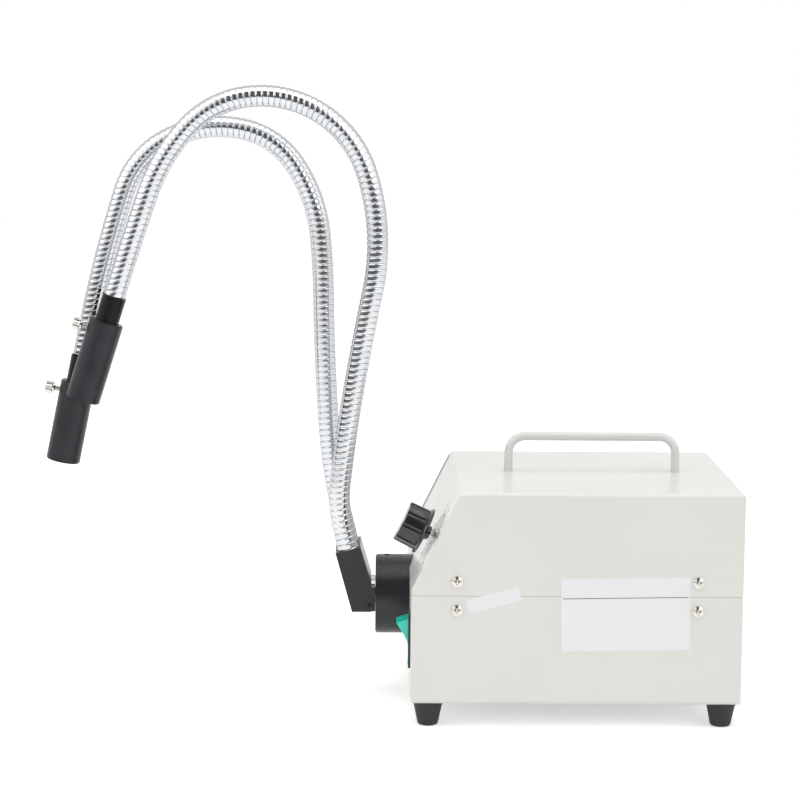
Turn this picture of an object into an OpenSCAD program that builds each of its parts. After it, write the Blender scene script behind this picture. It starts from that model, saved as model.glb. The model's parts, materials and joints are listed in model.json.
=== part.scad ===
// Fiber optic illuminator: a bench light source with two bendable light guides.
// Millimetres. Z is up, the bench is z = 0, the front faces -Y and +X is the side with the seam in view.

/* [Housing] */
// Length of the box, front to back
box_l = 240; // [220:1:280]
// Width of the box
box_w = 200; // [180:1:240]
// Height of the box without its feet
box_h = 155; // [145:1:180]
// Height of the upright front face, up to the slope
lip_h = 84; // [80:1:96]
// Depth that the slope takes back from the front
slope_run = 35; // [28:1:46]
// Height of the seam between cover and tray
seam_h = 80; // [76:1:82]
// Gap of the seam
seam_gap = 0.2; // [0.2:0.1:1]
// Sheet thickness of cover and tray
sheet = 1.5; // [1:0.1:2.5]
// Outside radius of the bent edges
bend_r = 3; // [1:0.5:6]

/* [Side screws] */
// Distance of each screw column from the front and the back
screw_inset = 33; // [26:1:45]
// Height of the upper and lower screws above and below the seam
screw_rise = 10.5; // [9:0.5:16]
// Head diameter of the pan head screws
screw_head = 8; // [6:0.5:9]
// Thread diameter of the pan head screws
screw_d = 4; // [3:0.5:5]
// Thickness of the joining brackets behind the screws
bracket_t = 2; // [1.5:0.5:4]
// Width of each joining bracket
bracket_w = 18; // [14:1:24]

/* [Feet] */
// Height of a foot
foot_h = 18; // [12:1:24]
// Diameter of a foot against the box
foot_top_d = 22.5; // [20:0.5:26]
// Diameter of a foot on the bench
foot_base_d = 15.5; // [14:0.5:20]
// Distance of each foot's centre from the edges of the box
foot_inset = 13; // [12:1:30]

/* [Handle] */
// Rod diameter of the carrying handle
handle_d = 6.5; // [5:0.5:9]
// Distance of the handle's front leg from the front
handle_y = 74.5; // [60:0.5:90]
// Distance between the handle's legs
handle_span = 126.5; // [100:0.5:140]
// Height of the handle above the cover
handle_h = 30; // [24:1:45]
// Centreline radius of the handle's bends
handle_r = 12.5; // [9:0.5:15]

/* [Light port] */
// Outside diameter of the port
port_d = 60; // [54:1:62]
// How far the port stands out of the front
port_len = 25.5; // [20:0.5:34]
// Length of the port's rear ring outside the panel
ring_len = 6.4; // [4:0.2:9]
// Height of the port's axis above the underside of the box
port_z = 60; // [52:1:62]
// Diameter of the light guide's plug
plug_d = 26; // [20:1:28]
// Radial running clearance of pins, plugs and shafts
fit = 0.05; // [0.02:0.01:0.1]

/* [Guide block] */
// Width of the block that splits the light guide
block_w = 45; // [43:1:54]
// Lean of the block and of both hoses where they leave it
block_lean = 14; // [10:1:18]
// Height of the land that faces the port
land_h = 18.5; // [14:0.5:22]
// Gap between the block and the port's face
land_gap = 0.3; // [0.2:0.1:1]

/* [Gooseneck hoses] */
// Outside diameter of a hose over its ribs
hose_d = 15.8; // [13:0.1:16.2]
// Depth of the groove between two ribs
rib_depth = 0.8; // [0.4:0.1:1.2]
// Distance from rib to rib
rib_pitch = 5.2; // [5.2:0.1:9]
// Bore of a hose
hose_bore = 10.8; // [9:0.1:11.5]
// Distance of each hose from the middle plane
arm_x = 14; // [13.6:0.1:14.4]
// Diameter of the fibre bundle in each arm
bundle_d = 8.6; // [6:0.1:8.8]

/* [Light heads] */
// Diameter of the ferrule on the end of a hose
ferrule_d = 17.8; // [17.6:0.1:19]
// Length of ferrule that shows above its sleeve
ferrule_show = 20; // [14:1:26]
// Outside diameter of a focusing sleeve
sleeve_d = 25.5; // [24:0.1:26.5]
// Length of a focusing sleeve
sleeve_len = 61.5; // [54:0.5:70]
// Diameter of the focusing lens
lens_d = 19; // [16:0.5:20]
// Head diameter of a sleeve's thumb screw
thumb_d = 10; // [7:0.5:11]
// How far down the sleeve its thumb screw sits
thumb_drop = 8; // [7:0.5:12]

/* [Controls] */
// Place of the knob and the switch to the right of the middle, as a share of the box's width
control_share = 0.34; // [0.31:0.01:0.36]
// Place of the knob along the slope from its lower edge
knob_t = 37.8; // [34:0.2:44]
// Diameter of the knob's fluted body
knob_d = 31; // [24:0.5:32]
// Diameter of the knob's flange
skirt_d = 35; // [33:0.5:38]
// Height of the knob above its flange's underside
knob_h = 18.4; // [14:0.2:22]
// Height of the knob's flange above the panel
knob_lift = 7.5; // [6:0.5:10]
// Number of flutes round the knob
flutes = 10; // [8:1:12]
// Height of the switch's centre above the underside of the box
switch_z = 41.5; // [36:0.5:46]
// Width of the switch's bezel
switch_w = 22; // [18:0.5:26]
// Height of the switch's bezel
switch_h = 40; // [36:0.5:42]
// Tilt of the rocker each side of level
rocker_tilt = 15; // [10:0.5:15]

/* [Back panel] */
// Side of the cooling fan's frame
fan_w = 60; // [56:1:62]
// Depth of the cooling fan
fan_t = 20; // [18:1:25]
// Place of the fan to the left of the middle, as a share of the box's width
fan_share = 0.25; // [0.22:0.01:0.29]
// Height of the fan's centre above the underside of the box
fan_z = 40; // [36:1:42]
// Number of fan blades
blades = 7; // [5:1:9]
// Number of rings in the fan guard
guard_rings = 4; // [3:1:5]
// Place of the mains inlet to the right of the middle, as a share of the box's width
inlet_share = 0.25; // [0.2:0.01:0.3]
// Height of the mains inlet above the underside of the box
inlet_z = 42; // [36:1:48]

/* [Light engine] */
// Side of the heat sink's face
sink_w = 70; // [60:1:76]
// Depth of the heat sink
sink_l = 58; // [45:1:70]
// Number of heat sink fins
sink_fins = 11; // [7:2:13]
// Diameter of the condenser lens
cond_d = 30; // [24:1:32]

/* [Hidden] */
$fn = 48;
control_x = control_share * box_w;
fan_x = fan_share * box_w;
inlet_x = inlet_share * box_w;
front_y = 16;                       // the front panel's place, so that the footprint is centred
tiny = 0.01;                        // overshoot of a cut past its surface
paint = "#e0dfda";
black = "#262729";
steel = "#c8cacc";

// ---- frames ------------------------------------------------------------------------------------
// The box's own frame: y = 0 is its front face and z = 0 its underside.
module on_bench() translate([0, front_y, foot_h]) children();

// The slope's frame at distance t up the slope: local z is its outward normal.
slope_ang = atan2(box_h - lip_h, slope_run);
module on_slope(x, t)
    translate([x, t * cos(slope_ang), lip_h + t * sin(slope_ang)]) rotate([slope_ang, 0, 0]) children();

// A frame whose local z runs out of the front, or out of the back.
module facing_front(x, y, z) translate([x, y, z]) rotate([90, 0, 0]) children();
module facing_back(x, y, z) translate([x, y, z]) rotate([-90, 0, 0]) children();

// ---- outlines ----------------------------------------------------------------------------------
function unit(v) = v / norm(v);

// A polygon with every corner rounded to radius r.
function rounded(p, r, steps = 4) = [
    for (i = [0:len(p) - 1])
        let (b = p[i],
             u = unit(p[(i + len(p) - 1) % len(p)] - b),
             v = unit(p[(i + 1) % len(p)] - b),
             half = acos(u * v) / 2,
             centre = b + unit(u + v) * r / sin(half),
             from = b + u * r / tan(half) - centre,
             to = b + v * r / tan(half) - centre,
             a0 = atan2(from.y, from.x),
             turn = (atan2(to.y, to.x) - a0 + 540) % 360 - 180)
            for (k = [0:steps]) centre + r * [cos(a0 + turn * k / steps), sin(a0 + turn * k / steps)]];

// The box's side outline in (y, z), drawn in by the distance t.
function side_outline(t) =
    let (s = sin(slope_ang), c = cos(slope_ang),
         low = lip_h - t * (1 - s) / c,
         back = ((box_h - t - lip_h) * c + t) / s)
        [[t, t], [box_l - t, t], [box_l - t, box_h - t], [back, box_h - t], [t, low]];

function rectangle(w, h, y0 = 0) = [[-w / 2, y0], [w / 2, y0], [w / 2, y0 + h], [-w / 2, y0 + h]];

// ---- fasteners ---------------------------------------------------------------------------------
// A pan head screw with a cross recess: head above z = 0, thread below.
module pan_screw(head, thread, long) {
    head_h = head * 0.32;
    difference() {
        union() {
            intersection() {
                cylinder(d = head, h = head_h);
                translate([0, 0, head_h - head * 0.85]) sphere(r = head * 0.85);
            }
            translate([0, 0, -long]) cylinder(d = thread, h = long + tiny);
        }
        for (a = [0, 90]) rotate(a) translate([-head * 0.25, -head * 0.055, head_h * 0.35])
            cube([head * 0.5, head * 0.11, head_h]);
    }
}

// The places of the side screws: side, y, z and which half they hold.
function side_screws() = [
    for (side = [-1, 1], y = [screw_inset, box_l - screw_inset], up = [-1, 1])
        [side, y, seam_h + up * screw_rise]];

module at_side_screw(p) translate([p[0] * box_w / 2, p[1], p[2]]) rotate([0, p[0] * 90, 0]) children();

function corners(w, l) = [for (x = [-w, w], y = [-l, l]) [x / 2, y / 2]];
function foot_places() =
    [for (p = corners(box_w - 2 * foot_inset, box_l - 2 * foot_inset)) [p.x, p.y + box_l / 2]];

// ---- housing shells ----------------------------------------------------------------------------
module box_block(t, r) {
    intersection() {
        rotate([90, 0, 90]) translate([0, 0, t - box_w / 2])
            linear_extrude(box_w - 2 * t) polygon(r > 0 ? rounded(side_outline(t), r) : side_outline(t));
        translate([0, 0, -1]) linear_extrude(box_h + 2)
            polygon(rounded(rectangle(box_w - 2 * t, box_l - 2 * t, t), max(r, 0.5)));
        rotate([90, 0, 0]) translate([0, 0, -box_l - 1]) linear_extrude(box_l + 2)
            polygon(rounded(rectangle(box_w - 2 * t, box_h - 2 * t, t), max(r, 0.5)));
    }
}

module housing_cuts() {
    // the port
    facing_back(0, -1, port_z) cylinder(d = port_d + 2 * port_gap, h = ring_back + 2);
    // the side screws
    for (p = side_screws()) at_side_screw(p) translate([0, 0, -sheet - 1])
        cylinder(d = screw_d + 0.5, h = sheet + 2);
    // the dimmer's bush and the handle's screws
    on_slope(control_x, knob_t) translate([0, 0, -sheet - 1]) cylinder(d = bush_d + 0.3, h = sheet + 2);
    for (y = [handle_y, handle_y + handle_span]) translate([0, y, box_h - sheet - 1])
        cylinder(d = screw_d + 0.5, h = sheet + 2);
    // the feet
    for (p = foot_places()) translate([p.x, p.y, -1]) cylinder(d = screw_d + 0.5, h = sheet + 2);
    // the switch
    switch_box(switch_body - 0.2, -1, sheet + 2);
    // the fan and the inlet
    facing_back(-fan_x, box_l - sheet - 1, fan_z) {
        cylinder(d = fan_w - 3, h = sheet + 2);
        for (p = corners(fan_holes, fan_holes)) translate([p.x, p.y, 0])
            cylinder(d = screw_d + 0.3, h = sheet + 2);
    }
    translate([inlet_x - inlet_w / 2, box_l - sheet - 1, inlet_z - inlet_h / 2])
        cube([inlet_w, sheet + 2, inlet_h]);
    for (side = [-1, 1]) facing_back(inlet_x + side * inlet_pitch / 2, box_l - sheet - 1, inlet_z)
        cylinder(d = 3.4, h = sheet + 2);
}

port_gap = 0.3;                     // round the port's ring in the panel
ring_back = 12;                     // back face of the port's ring, behind the front
bush_d = 7;                         // threaded bush of the dimmer
fan_holes = fan_w - 10;
inlet_w = 27.5;
inlet_h = 33;
inlet_pitch = 40;

module half_shell(z0, z1) {
    difference() {
        intersection() {
            box_block(0, bend_r);
            translate([-box_w, -1, z0]) cube([2 * box_w, box_l + 2, z1 - z0]);
        }
        box_block(sheet, 0);
        housing_cuts();
    }
}

module top_cover() on_bench() color(paint) half_shell(seam_h + seam_gap / 2, box_h + 1);
module base_tray() on_bench() color(paint) half_shell(-1, seam_h - seam_gap / 2);

module side_brackets() on_bench() color(steel)
    for (side = [-1, 1], y = [screw_inset, box_l - screw_inset]) difference() {
        high = 2 * screw_rise + 16;
        translate([side * (box_w / 2 - sheet - bracket_t / 2) - bracket_t / 2, y - bracket_w / 2,
                   seam_h - high / 2]) cube([bracket_t, bracket_w, high]);
        for (up = [-1, 1]) translate([side * box_w / 2, y, seam_h + up * screw_rise])
            rotate([0, -side * 90, 0]) cylinder(d = screw_d + 2 * fit, h = 12);
    }

module cover_screws() on_bench() color(steel)
    for (p = side_screws()) at_side_screw(p) pan_screw(screw_head, screw_d, sheet + bracket_t + 2);

// ---- feet and handle ---------------------------------------------------------------------------
foot_rim = 2;
foot_seat = 8;                      // height of the screw's seat inside a foot

module foot() rotate_extrude() difference() {
    polygon(concat(
        [[0, 0], [foot_base_d / 2 - 2, 0], [foot_base_d / 2 - 0.6, 0.6], [foot_base_d / 2, 2]],
        [[foot_top_d / 2 - 0.8, foot_h - foot_rim - 0.6], [foot_top_d / 2, foot_h - foot_rim],
         [foot_top_d / 2, foot_h], [0, foot_h]]));
    square([screw_head / 2 + 0.8, foot_seat]);
    square([screw_d / 2 + 0.2, foot_h + 1]);
}

module feet() on_bench() color(black)
    for (p = foot_places()) translate([p.x, p.y, -foot_h]) foot();

module carry_handle() on_bench() color(paint) {
    leg = handle_h - handle_d / 2 - handle_r;
    difference() {
        translate([0, handle_y, box_h]) {
            for (y = [0, handle_span]) translate([0, y, 0]) cylinder(d = handle_d, h = leg);
            translate([0, handle_r, leg]) rotate([90, 0, -90])
                rotate_extrude(angle = 90) translate([handle_r, 0]) circle(d = handle_d);
            translate([0, handle_span - handle_r, leg]) rotate([90, 0, 90])
                rotate_extrude(angle = 90) translate([handle_r, 0]) circle(d = handle_d);
            translate([0, handle_r, leg + handle_r]) rotate([-90, 0, 0])
                cylinder(d = handle_d, h = handle_span - 2 * handle_r);
        }
        for (y = [handle_y, handle_y + handle_span]) translate([0, y, box_h - 1])
            cylinder(d = screw_d + 2 * fit, h = handle_bite + 2);
    }
}

handle_bite = 10;                   // how far a handle screw reaches into its leg

// The screws that hold the feet, the handle and the fan.
module frame_screws() on_bench() color(steel) {
    for (p = foot_places()) translate([p.x, p.y, foot_seat - foot_h]) rotate([180, 0, 0])
        pan_screw(screw_head, screw_d, foot_h - foot_seat + sheet + 4);
    for (y = [handle_y, handle_y + handle_span]) translate([0, y, box_h - sheet]) rotate([180, 0, 0])
        pan_screw(screw_head, screw_d, sheet + handle_bite);
    at_fan(box_l) for (p = corners(fan_holes, fan_holes)) translate([p.x, p.y, tab_t])
        pan_screw(screw_head, screw_d, tab_t + sheet + fan_t - 2);
}

// ---- light port --------------------------------------------------------------------------------
spigot_d = port_d - 10;
set_d = 5;                          // set screw of the port
set_y = -17;

module port_collar() on_bench() color(black) difference() {
    union() {
        facing_front(0, -ring_len - 0.1, port_z) {
            cylinder(d = port_d, h = port_len - ring_len - 0.9);
            cylinder(d1 = port_d, d2 = port_d - 1.6, h = port_len - ring_len - 0.1);
        }
        facing_front(0, ring_back, port_z) cylinder(d = spigot_d, h = ring_back + ring_len + 1);
    }
    facing_front(0, ring_back + 1, port_z) cylinder(d = plug_d - 4, h = port_len + ring_back + 2);
    facing_front(0, plug_end, port_z) cylinder(d = plug_d + 2 * fit, h = port_len + plug_end + 1);
    translate([0, set_y, port_z]) cylinder(d = set_d + 2 * fit, h = port_d);
}

plug_end = -3;                      // floor of the plug's bore in the collar

module port_ring() on_bench() color(black) difference() {
    facing_front(0, ring_back, port_z) cylinder(d = port_d, h = ring_back + ring_len);
    facing_front(0, ring_back + 1, port_z) cylinder(d = spigot_d + 2 * fit, h = ring_back + ring_len + 2);
    for (a = port_angles) facing_front(0, ring_back + 1, port_z) rotate(a)
        translate([(port_d + spigot_d) / 4, 0, 0]) cylinder(d = 2.5 + 2 * fit, h = 9);
}

port_angles = [90, 210, 330];
port_plate = 2;

module port_bracket() on_bench() color(steel) {
    wide = port_d + 24;
    difference() {
        translate([-wide / 2, ring_back, sheet]) cube([wide, port_plate, port_z + port_d / 2]);
        facing_front(0, ring_back + 5, port_z) cylinder(d = plug_d - 4, h = 10);
        for (a = port_angles) facing_front(0, ring_back + 5, port_z) rotate(a)
            translate([(port_d + spigot_d) / 4, 0, 0]) cylinder(d = 2.9, h = 10);
    }
    translate([-wide / 2, ring_back + port_plate, sheet]) cube([wide, 14, port_plate]);
    for (side = [-1, 1]) translate([side * (wide / 2 - port_plate / 2) - port_plate / 2, 0, sheet])
        rotate([90, 0, 90]) linear_extrude(port_plate)
            polygon([[ring_back + 1, 1], [ring_back + 15, 1], [ring_back + 1, port_z]]);
}

module port_screws() on_bench() color(steel)
    for (a = port_angles) facing_back(0, ring_back + port_plate, port_z) rotate(-a)
        translate([(port_d + spigot_d) / 4, 0, 0]) pan_screw(5, 2.5, port_plate + 6);

module port_set_screw() on_bench() color(black) translate([0, set_y, port_z]) difference() {
    translate([0, 0, plug_d / 2 + 0.3]) cylinder(d = set_d, h = (port_d - plug_d) / 2 - 2);
    translate([0, 0, port_d / 2 - 4.7]) cylinder(d = 2.9, h = 4, $fn = 6);
}

// ---- light engine ------------------------------------------------------------------------------
holder_y = ring_back + port_plate;
holder_l = 20;
cond_r = cond_d * 1.1;              // radius of each face of the condenser lens
cond_t = 2 * (cond_r - sqrt(cond_r * cond_r - cond_d * cond_d / 4)) + 2;
board_t = 1.6;
led_y = holder_y + holder_l + board_t;

module lens_holder() on_bench() color(black) difference() {
    facing_back(0, holder_y, port_z) cylinder(d = cond_d + 8, h = holder_l);
    facing_back(0, holder_y - 1, port_z) cylinder(d = cond_d - 4, h = holder_l + 2);
    facing_back(0, holder_y + 3, port_z) cylinder(d = cond_d + 2 * fit, h = holder_l);
}

module condenser_lens() on_bench() color("#cfe4ea")
    facing_back(0, holder_y + 3.2 + cond_t / 2, port_z) intersection() {
        cylinder(d = cond_d, h = cond_t, center = true);
        translate([0, 0, cond_r - cond_t / 2]) sphere(r = cond_r, $fn = 96);
        translate([0, 0, cond_t / 2 - cond_r]) sphere(r = cond_r, $fn = 96);
    }

module led_emitter() on_bench() color("#f0dc6a") facing_front(0, led_y - board_t, port_z) {
    cylinder(d = 12, h = 1.2);
    translate([0, 0, 1]) intersection() {
        sphere(r = 4.5);
        cylinder(r = 5, h = 5);
    }
}

module led_board() on_bench() color("#e9ece9") difference() {
    facing_front(0, led_y, port_z) cylinder(d = cond_d + 8, h = board_t);
    for (side = [-1, 1]) facing_front(side * 13, led_y + 1, port_z) cylinder(d = 3.2, h = 4);
}

module heat_sink() on_bench() color("#b9bcbe") translate([0, led_y, port_z]) {
    base = 7;
    translate([-sink_w / 2, 0, -sink_w / 2]) cube([sink_w, base, sink_w]);
    for (k = [0:sink_fins - 1]) translate([-sink_w / 2 + k * (sink_w - 2) / (sink_fins - 1), base - 1, -sink_w / 2])
        cube([2, sink_l - base + 1, sink_w]);
}

module sink_posts() on_bench() color(steel)
    for (p = corners(sink_w - 2, sink_l - 12)) translate([p.x, led_y + sink_l / 2 + p.y, sheet])
        cylinder(d = 8, h = port_z - sink_w / 2 - sheet);

// ---- driver board ------------------------------------------------------------------------------
pcb_w = 84;
pcb_l = 84;
pcb_x = box_w / 10;
pcb_y = box_l - 75;
pcb_z = sheet + 8;

module at_board(z) translate([pcb_x, pcb_y, z]) children();

module driver_board() on_bench() color("#2f6b45") at_board(pcb_z) difference() {
    translate([-pcb_w / 2, -pcb_l / 2, 0]) cube([pcb_w, pcb_l, board_t]);
    for (p = corners(pcb_w - 8, pcb_l - 8)) translate([p.x, p.y, -1]) cylinder(d = 3.4, h = 4);
}

module board_components() on_bench() color("#3a3c44") at_board(pcb_z + board_t) {
    translate([-34, -20, 0]) cube([30, 34, 28]);                 // transformer
    translate([2, -32, 0]) cube([22, 12, 16]);                   // choke
    for (x = [6, 20, 34]) translate([x - 2, 12, 0]) cylinder(d = 12, h = 22);
    translate([28, -30, 0]) cube([8, 34, 20]);                   // regulator's heat spreader
    for (k = [0:2]) translate([-30 + 11 * k, 22, 0]) cube([9, 12, 10]);   // terminal blocks
}

module board_standoffs() on_bench() color(steel) at_board(sheet)
    for (p = corners(pcb_w - 8, pcb_l - 8)) translate([p.x, p.y, 0]) {
        cylinder(d = 6, h = pcb_z - sheet);
        cylinder(d = 3.2, h = pcb_z - sheet + board_t + 2);
    }

// ---- dimmer ------------------------------------------------------------------------------------
shaft_d = 6;
nut_z = 0.8;                        // the nut sits on a washer this thick
nut_h = 2.4;
hub_z = nut_z + nut_h + 0.4;        // underside of the knob's hub
knob_top = knob_lift + knob_h;

module dimmer_pot() on_bench() color("#8d9094") on_slope(control_x, knob_t) difference() {
    union() {
        translate([0, 0, -sheet - 10]) cylinder(d = 17, h = 9.9);
        translate([0, 0, -sheet - 1]) cylinder(d = bush_d, h = sheet + 1 + nut_z + nut_h);
        translate([-8, 6, -sheet - 8]) cube([16, 8, 2]);
    }
    translate([0, 0, -sheet - 7]) cylinder(d = shaft_d + 2 * fit, h = 30);
}

// The bush's washer and nut.
module pot_nut() on_bench() color(steel) on_slope(control_x, knob_t) {
    difference() {
        cylinder(d = 13, h = nut_z);
        translate([0, 0, -1]) cylinder(d = bush_d + 0.3, h = nut_z + 2);
    }
    difference() {
        translate([0, 0, nut_z]) cylinder(d = 11.5, h = nut_h, $fn = 6);
        translate([0, 0, nut_z - 1]) cylinder(d = bush_d + 2 * fit, h = nut_h + 2);
    }
}

module pot_shaft() on_bench() color(steel) on_slope(control_x, knob_t)
    translate([0, 0, -sheet - 6.5]) cylinder(d = shaft_d, h = sheet + 6.5 + knob_top - 5);

module dimmer_knob() on_bench() color(black) on_slope(control_x, knob_t) difference() {
    union() {
        translate([0, 0, knob_lift]) cylinder(d = skirt_d, h = 1.3);
        translate([0, 0, knob_lift + 1]) linear_extrude(knob_h - 1) difference() {
            circle(d = knob_d);
            for (k = [0:flutes - 1]) rotate(k * 360 / flutes) translate([knob_d / 2 + 1, 0])
                circle(r = 2.5);
        }
        translate([0, 0, hub_z]) cylinder(d = 13, h = knob_lift - hub_z + 1);
    }
    translate([0, 0, hub_z - 1]) cylinder(d = shaft_d + 0.02, h = knob_top - 5 - hub_z + 1);
    translate([0, 0, knob_top - 1]) cylinder(d = knob_d - 4.8, h = 2);
}

module knob_cap() on_bench() color("#d5d7d8") on_slope(control_x, knob_t)
    translate([0, 0, knob_top - 1]) intersection() {
        cylinder(d = knob_d - 5, h = 2.6);
        translate([0, 0, 2.6 - 60]) sphere(r = 60, $fn = 96);
    }

// ---- power switch ------------------------------------------------------------------------------
bezel_t = 1.6;
switch_body = 1.2;                  // the body is this much inside the bezel's edge
switch_rim = 1.7;                   // and the rocker's well this much
switch_deep = 22;
pivot_y = 3;                        // the rocker's pivot, behind the front
rocker_w = switch_w - 2 * switch_rim - 0.8;
rocker_l = switch_h - 2 * switch_rim - 4.6;

module switch_box(inset, y0, deep)
    translate([control_x - switch_w / 2 + inset, y0, switch_z - switch_h / 2 + inset])
        cube([switch_w - 2 * inset, deep, switch_h - 2 * inset]);

module switch_housing() on_bench() color(black) difference() {
    union() {
        switch_box(0, -bezel_t, bezel_t);
        switch_box(switch_body, -tiny, switch_deep);
    }
    switch_box(switch_rim, -bezel_t - 1, bezel_t + 15);
    translate([control_x - switch_w, pivot_y, switch_z]) rotate([0, 90, 0])
        cylinder(d = rocker_pin + 2 * fit, h = 2 * switch_w);
}

rocker_pin = 3;

// The rocker's side outline, level: a blunt V in front, square ends and a blunt V behind the pivot.
rocker_front = -9.47;
function rocker_outline() =
    let (half = rocker_l / 2, vee = half * tan(rocker_tilt))
        concat([for (k = [-8:8]) [rocker_front + vee * (1 - pow(abs(k) / 8, 1.25)), half * k / 8]],
               [[0, half + 0.9], [1.5, half - 3.5], [4.5, 0], [1.5, 3.5 - half], [0, -half - 0.9]]);

module power_rocker() on_bench() color("#18b394")
    translate([control_x, pivot_y, switch_z]) rotate([rocker_tilt, 0, 0]) {
        translate([-rocker_w / 2, 0, 0]) rotate([90, 0, 90])
            linear_extrude(rocker_w) polygon(rocker_outline());
        translate([-rocker_w / 2 - 0.8, 0, 0]) rotate([0, 90, 0])
            cylinder(d = rocker_pin, h = rocker_w + 1.6);
    }

// ---- fan ---------------------------------------------------------------------------------------
fan_front = box_l - sheet - fan_t;  // the fan's inner face
duct_d = fan_w - 3;
hub_d = fan_w * 0.42;

module at_fan(y) facing_back(-fan_x, y, fan_z) children();

module fan_frame() on_bench() color(black) {
    at_fan(fan_front) difference() {
        translate([-fan_w / 2, -fan_w / 2, 0]) cube([fan_w, fan_w, fan_t]);
        translate([0, 0, -1]) cylinder(d = duct_d, h = fan_t + 2);
        for (p = corners(fan_holes, fan_holes)) translate([p.x, p.y, -1])
            cylinder(d = screw_d + 0.3, h = fan_t + 2);
    }
    at_fan(fan_front) difference() {
        union() {
            cylinder(d = hub_d * 0.8, h = 2);
            for (a = [45, 165, 285]) rotate(a) translate([0, -2, 0]) cube([duct_d / 2 + 0.5, 4, 2]);
        }
        translate([0, 0, -1]) cylinder(d = 3 + 2 * fit, h = 4);
    }
}

module fan_rotor() on_bench() color("#3b3d40") at_fan(fan_front) {
    translate([0, 0, 0.2]) cylinder(d = 3, h = 4);
    difference() {
        translate([0, 0, 3]) cylinder(d = hub_d, h = fan_t - 5);
        translate([0, 0, 2]) cylinder(d = hub_d - 4, h = 1.4);
    }
    for (k = [0:blades - 1]) rotate(k * 360 / blades) intersection() {
        translate([hub_d / 2 - 1.5, 0, fan_t / 2 + 0.5]) rotate([42, 0, 0])
            translate([0, -9, -0.7]) cube([duct_d / 2, 18, 1.4]);
        difference() {
            translate([0, 0, 3.2]) cylinder(d = duct_d - 2, h = fan_t - 5.4);
            translate([0, 0, 2]) cylinder(d = hub_d - 2, h = fan_t);
        }
    }
}

guard_wire = 1.8;
tab_t = 2.2;                        // thickness of the guard's screw tabs

module fan_guard() on_bench() color(steel) at_fan(box_l) {
    z = guard_wire / 2 + 1.6;
    for (k = [1:guard_rings]) rotate_extrude() translate([k * duct_d / 2 / guard_rings - 0.6, z])
        circle(d = guard_wire, $fn = 24);
    for (a = [45:90:315]) rotate(a) translate([duct_d / 2 / guard_rings - 2, 0, z - 0.7]) rotate([0, 90, 0])
        cylinder(d = guard_wire, h = fan_holes / sqrt(2) - screw_head / 2 - duct_d / 2 / guard_rings + 1.7, $fn = 24);
    for (p = corners(fan_holes, fan_holes)) translate([p.x, p.y, 0]) difference() {
        cylinder(d = screw_head + 1, h = tab_t);
        translate([0, 0, -1]) cylinder(d = screw_d + 0.3, h = 5);
    }
}

// ---- mains inlet -------------------------------------------------------------------------------
inlet_plate = 2.4;
socket_z = 5;                       // the socket sits this far above the inlet's centre
socket_w = 24;
socket_h = 16;
socket_deep = 15;
drawer_w = 20;
drawer_h = 7;
drawer_z = -11.4;
drawer_gap = 0.3;

module at_inlet(y) facing_back(inlet_x, y, inlet_z) mirror([0, 1, 0]) children();

module mains_inlet() on_bench() color(black) at_inlet(box_l) difference() {
    union() {
        linear_extrude(inlet_plate) difference() {
            polygon(rounded(rectangle(inlet_pitch + 9, inlet_h + 3, -(inlet_h + 3) / 2), 4));
            for (side = [-1, 1]) translate([side * inlet_pitch / 2, 0]) circle(d = 3.3);
        }
        translate([-inlet_w / 2 + 0.2, -inlet_h / 2 + 0.2, -24]) cube([inlet_w - 0.4, inlet_h - 0.4, 24.5]);
    }
    translate([0, 0, -socket_deep + inlet_plate]) linear_extrude(socket_deep + 1) polygon(rounded([
        [-socket_w / 2, socket_z - socket_h / 2], [socket_w / 2, socket_z - socket_h / 2],
        [socket_w / 2, socket_z + 3], [socket_w / 2 - 5, socket_z + socket_h / 2],
        [5 - socket_w / 2, socket_z + socket_h / 2], [-socket_w / 2, socket_z + 3]], 0.8));
    translate([-drawer_w / 2 - drawer_gap, drawer_z - drawer_h / 2 - drawer_gap, -18])
        cube([drawer_w + 2 * drawer_gap, drawer_h + 2 * drawer_gap, 30]);
}

module inlet_pins() on_bench() color("#d0b16a") at_inlet(box_l + inlet_plate - socket_deep)
    for (p = [[-7, socket_z - 2], [0, socket_z + 2], [7, socket_z - 2]])
        translate([p.x - 1, p.y - 2, 0]) cube([2, 4, 11]);

module inlet_screws() on_bench() color(steel) at_inlet(box_l + inlet_plate)
    for (side = [-1, 1]) translate([side * inlet_pitch / 2, 0, 0]) pan_screw(5.5, 3, 8);

module fuse_drawer() on_bench() color(black) at_inlet(box_l) {
    translate([-drawer_w / 2, drawer_z - drawer_h / 2, -17.5]) cube([drawer_w, drawer_h, 17.5 + inlet_plate]);
    translate([-6, drawer_z - drawer_h / 2, inlet_plate - tiny]) cube([12, 2, 1.2]);
}

// ---- light guide: plug and block ---------------------------------------------------------------
land_y = -port_len - land_gap;      // face of the block's land
neck_y = land_y - 2.8;              // where the block's back meets its land
plug_back = neck_y - 6;             // the plug's end inside the block
common_d = 13;                      // the fibre bundle at the lamp's end

// The block's side outline in (y, z), in the box's frame.
lean = [-sin(block_lean), cos(block_lean)];     // up along the hoses
across = [cos(block_lean), sin(block_lean)];    // along the block's top face
exit = [land_y - 20.6, port_z + 37.5];          // middle of the block's top face
top_half = 9.7;
block_outline = [
    exit - top_half * across,
    [land_y - 17.4, port_z - 9.7],
    [neck_y, port_z - 9.7],
    [neck_y, port_z + 12],
    exit + top_half * across];
block_land = [
    [neck_y - 6, port_z - land_h / 2], [land_y, port_z - land_h / 2],
    [land_y, port_z + land_h / 2], [neck_y - 6, port_z + land_h / 2]];
chamber = [
    exit - 6.4 * across - 14 * lean,
    [land_y - 15.4, port_z - 6.4],
    [plug_back - 1, port_z - 6.4],
    [plug_back - 1, port_z + 12],
    exit + 6.4 * across - 14 * lean];
socket = 9;                         // depth of a hose's socket in the block

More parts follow.
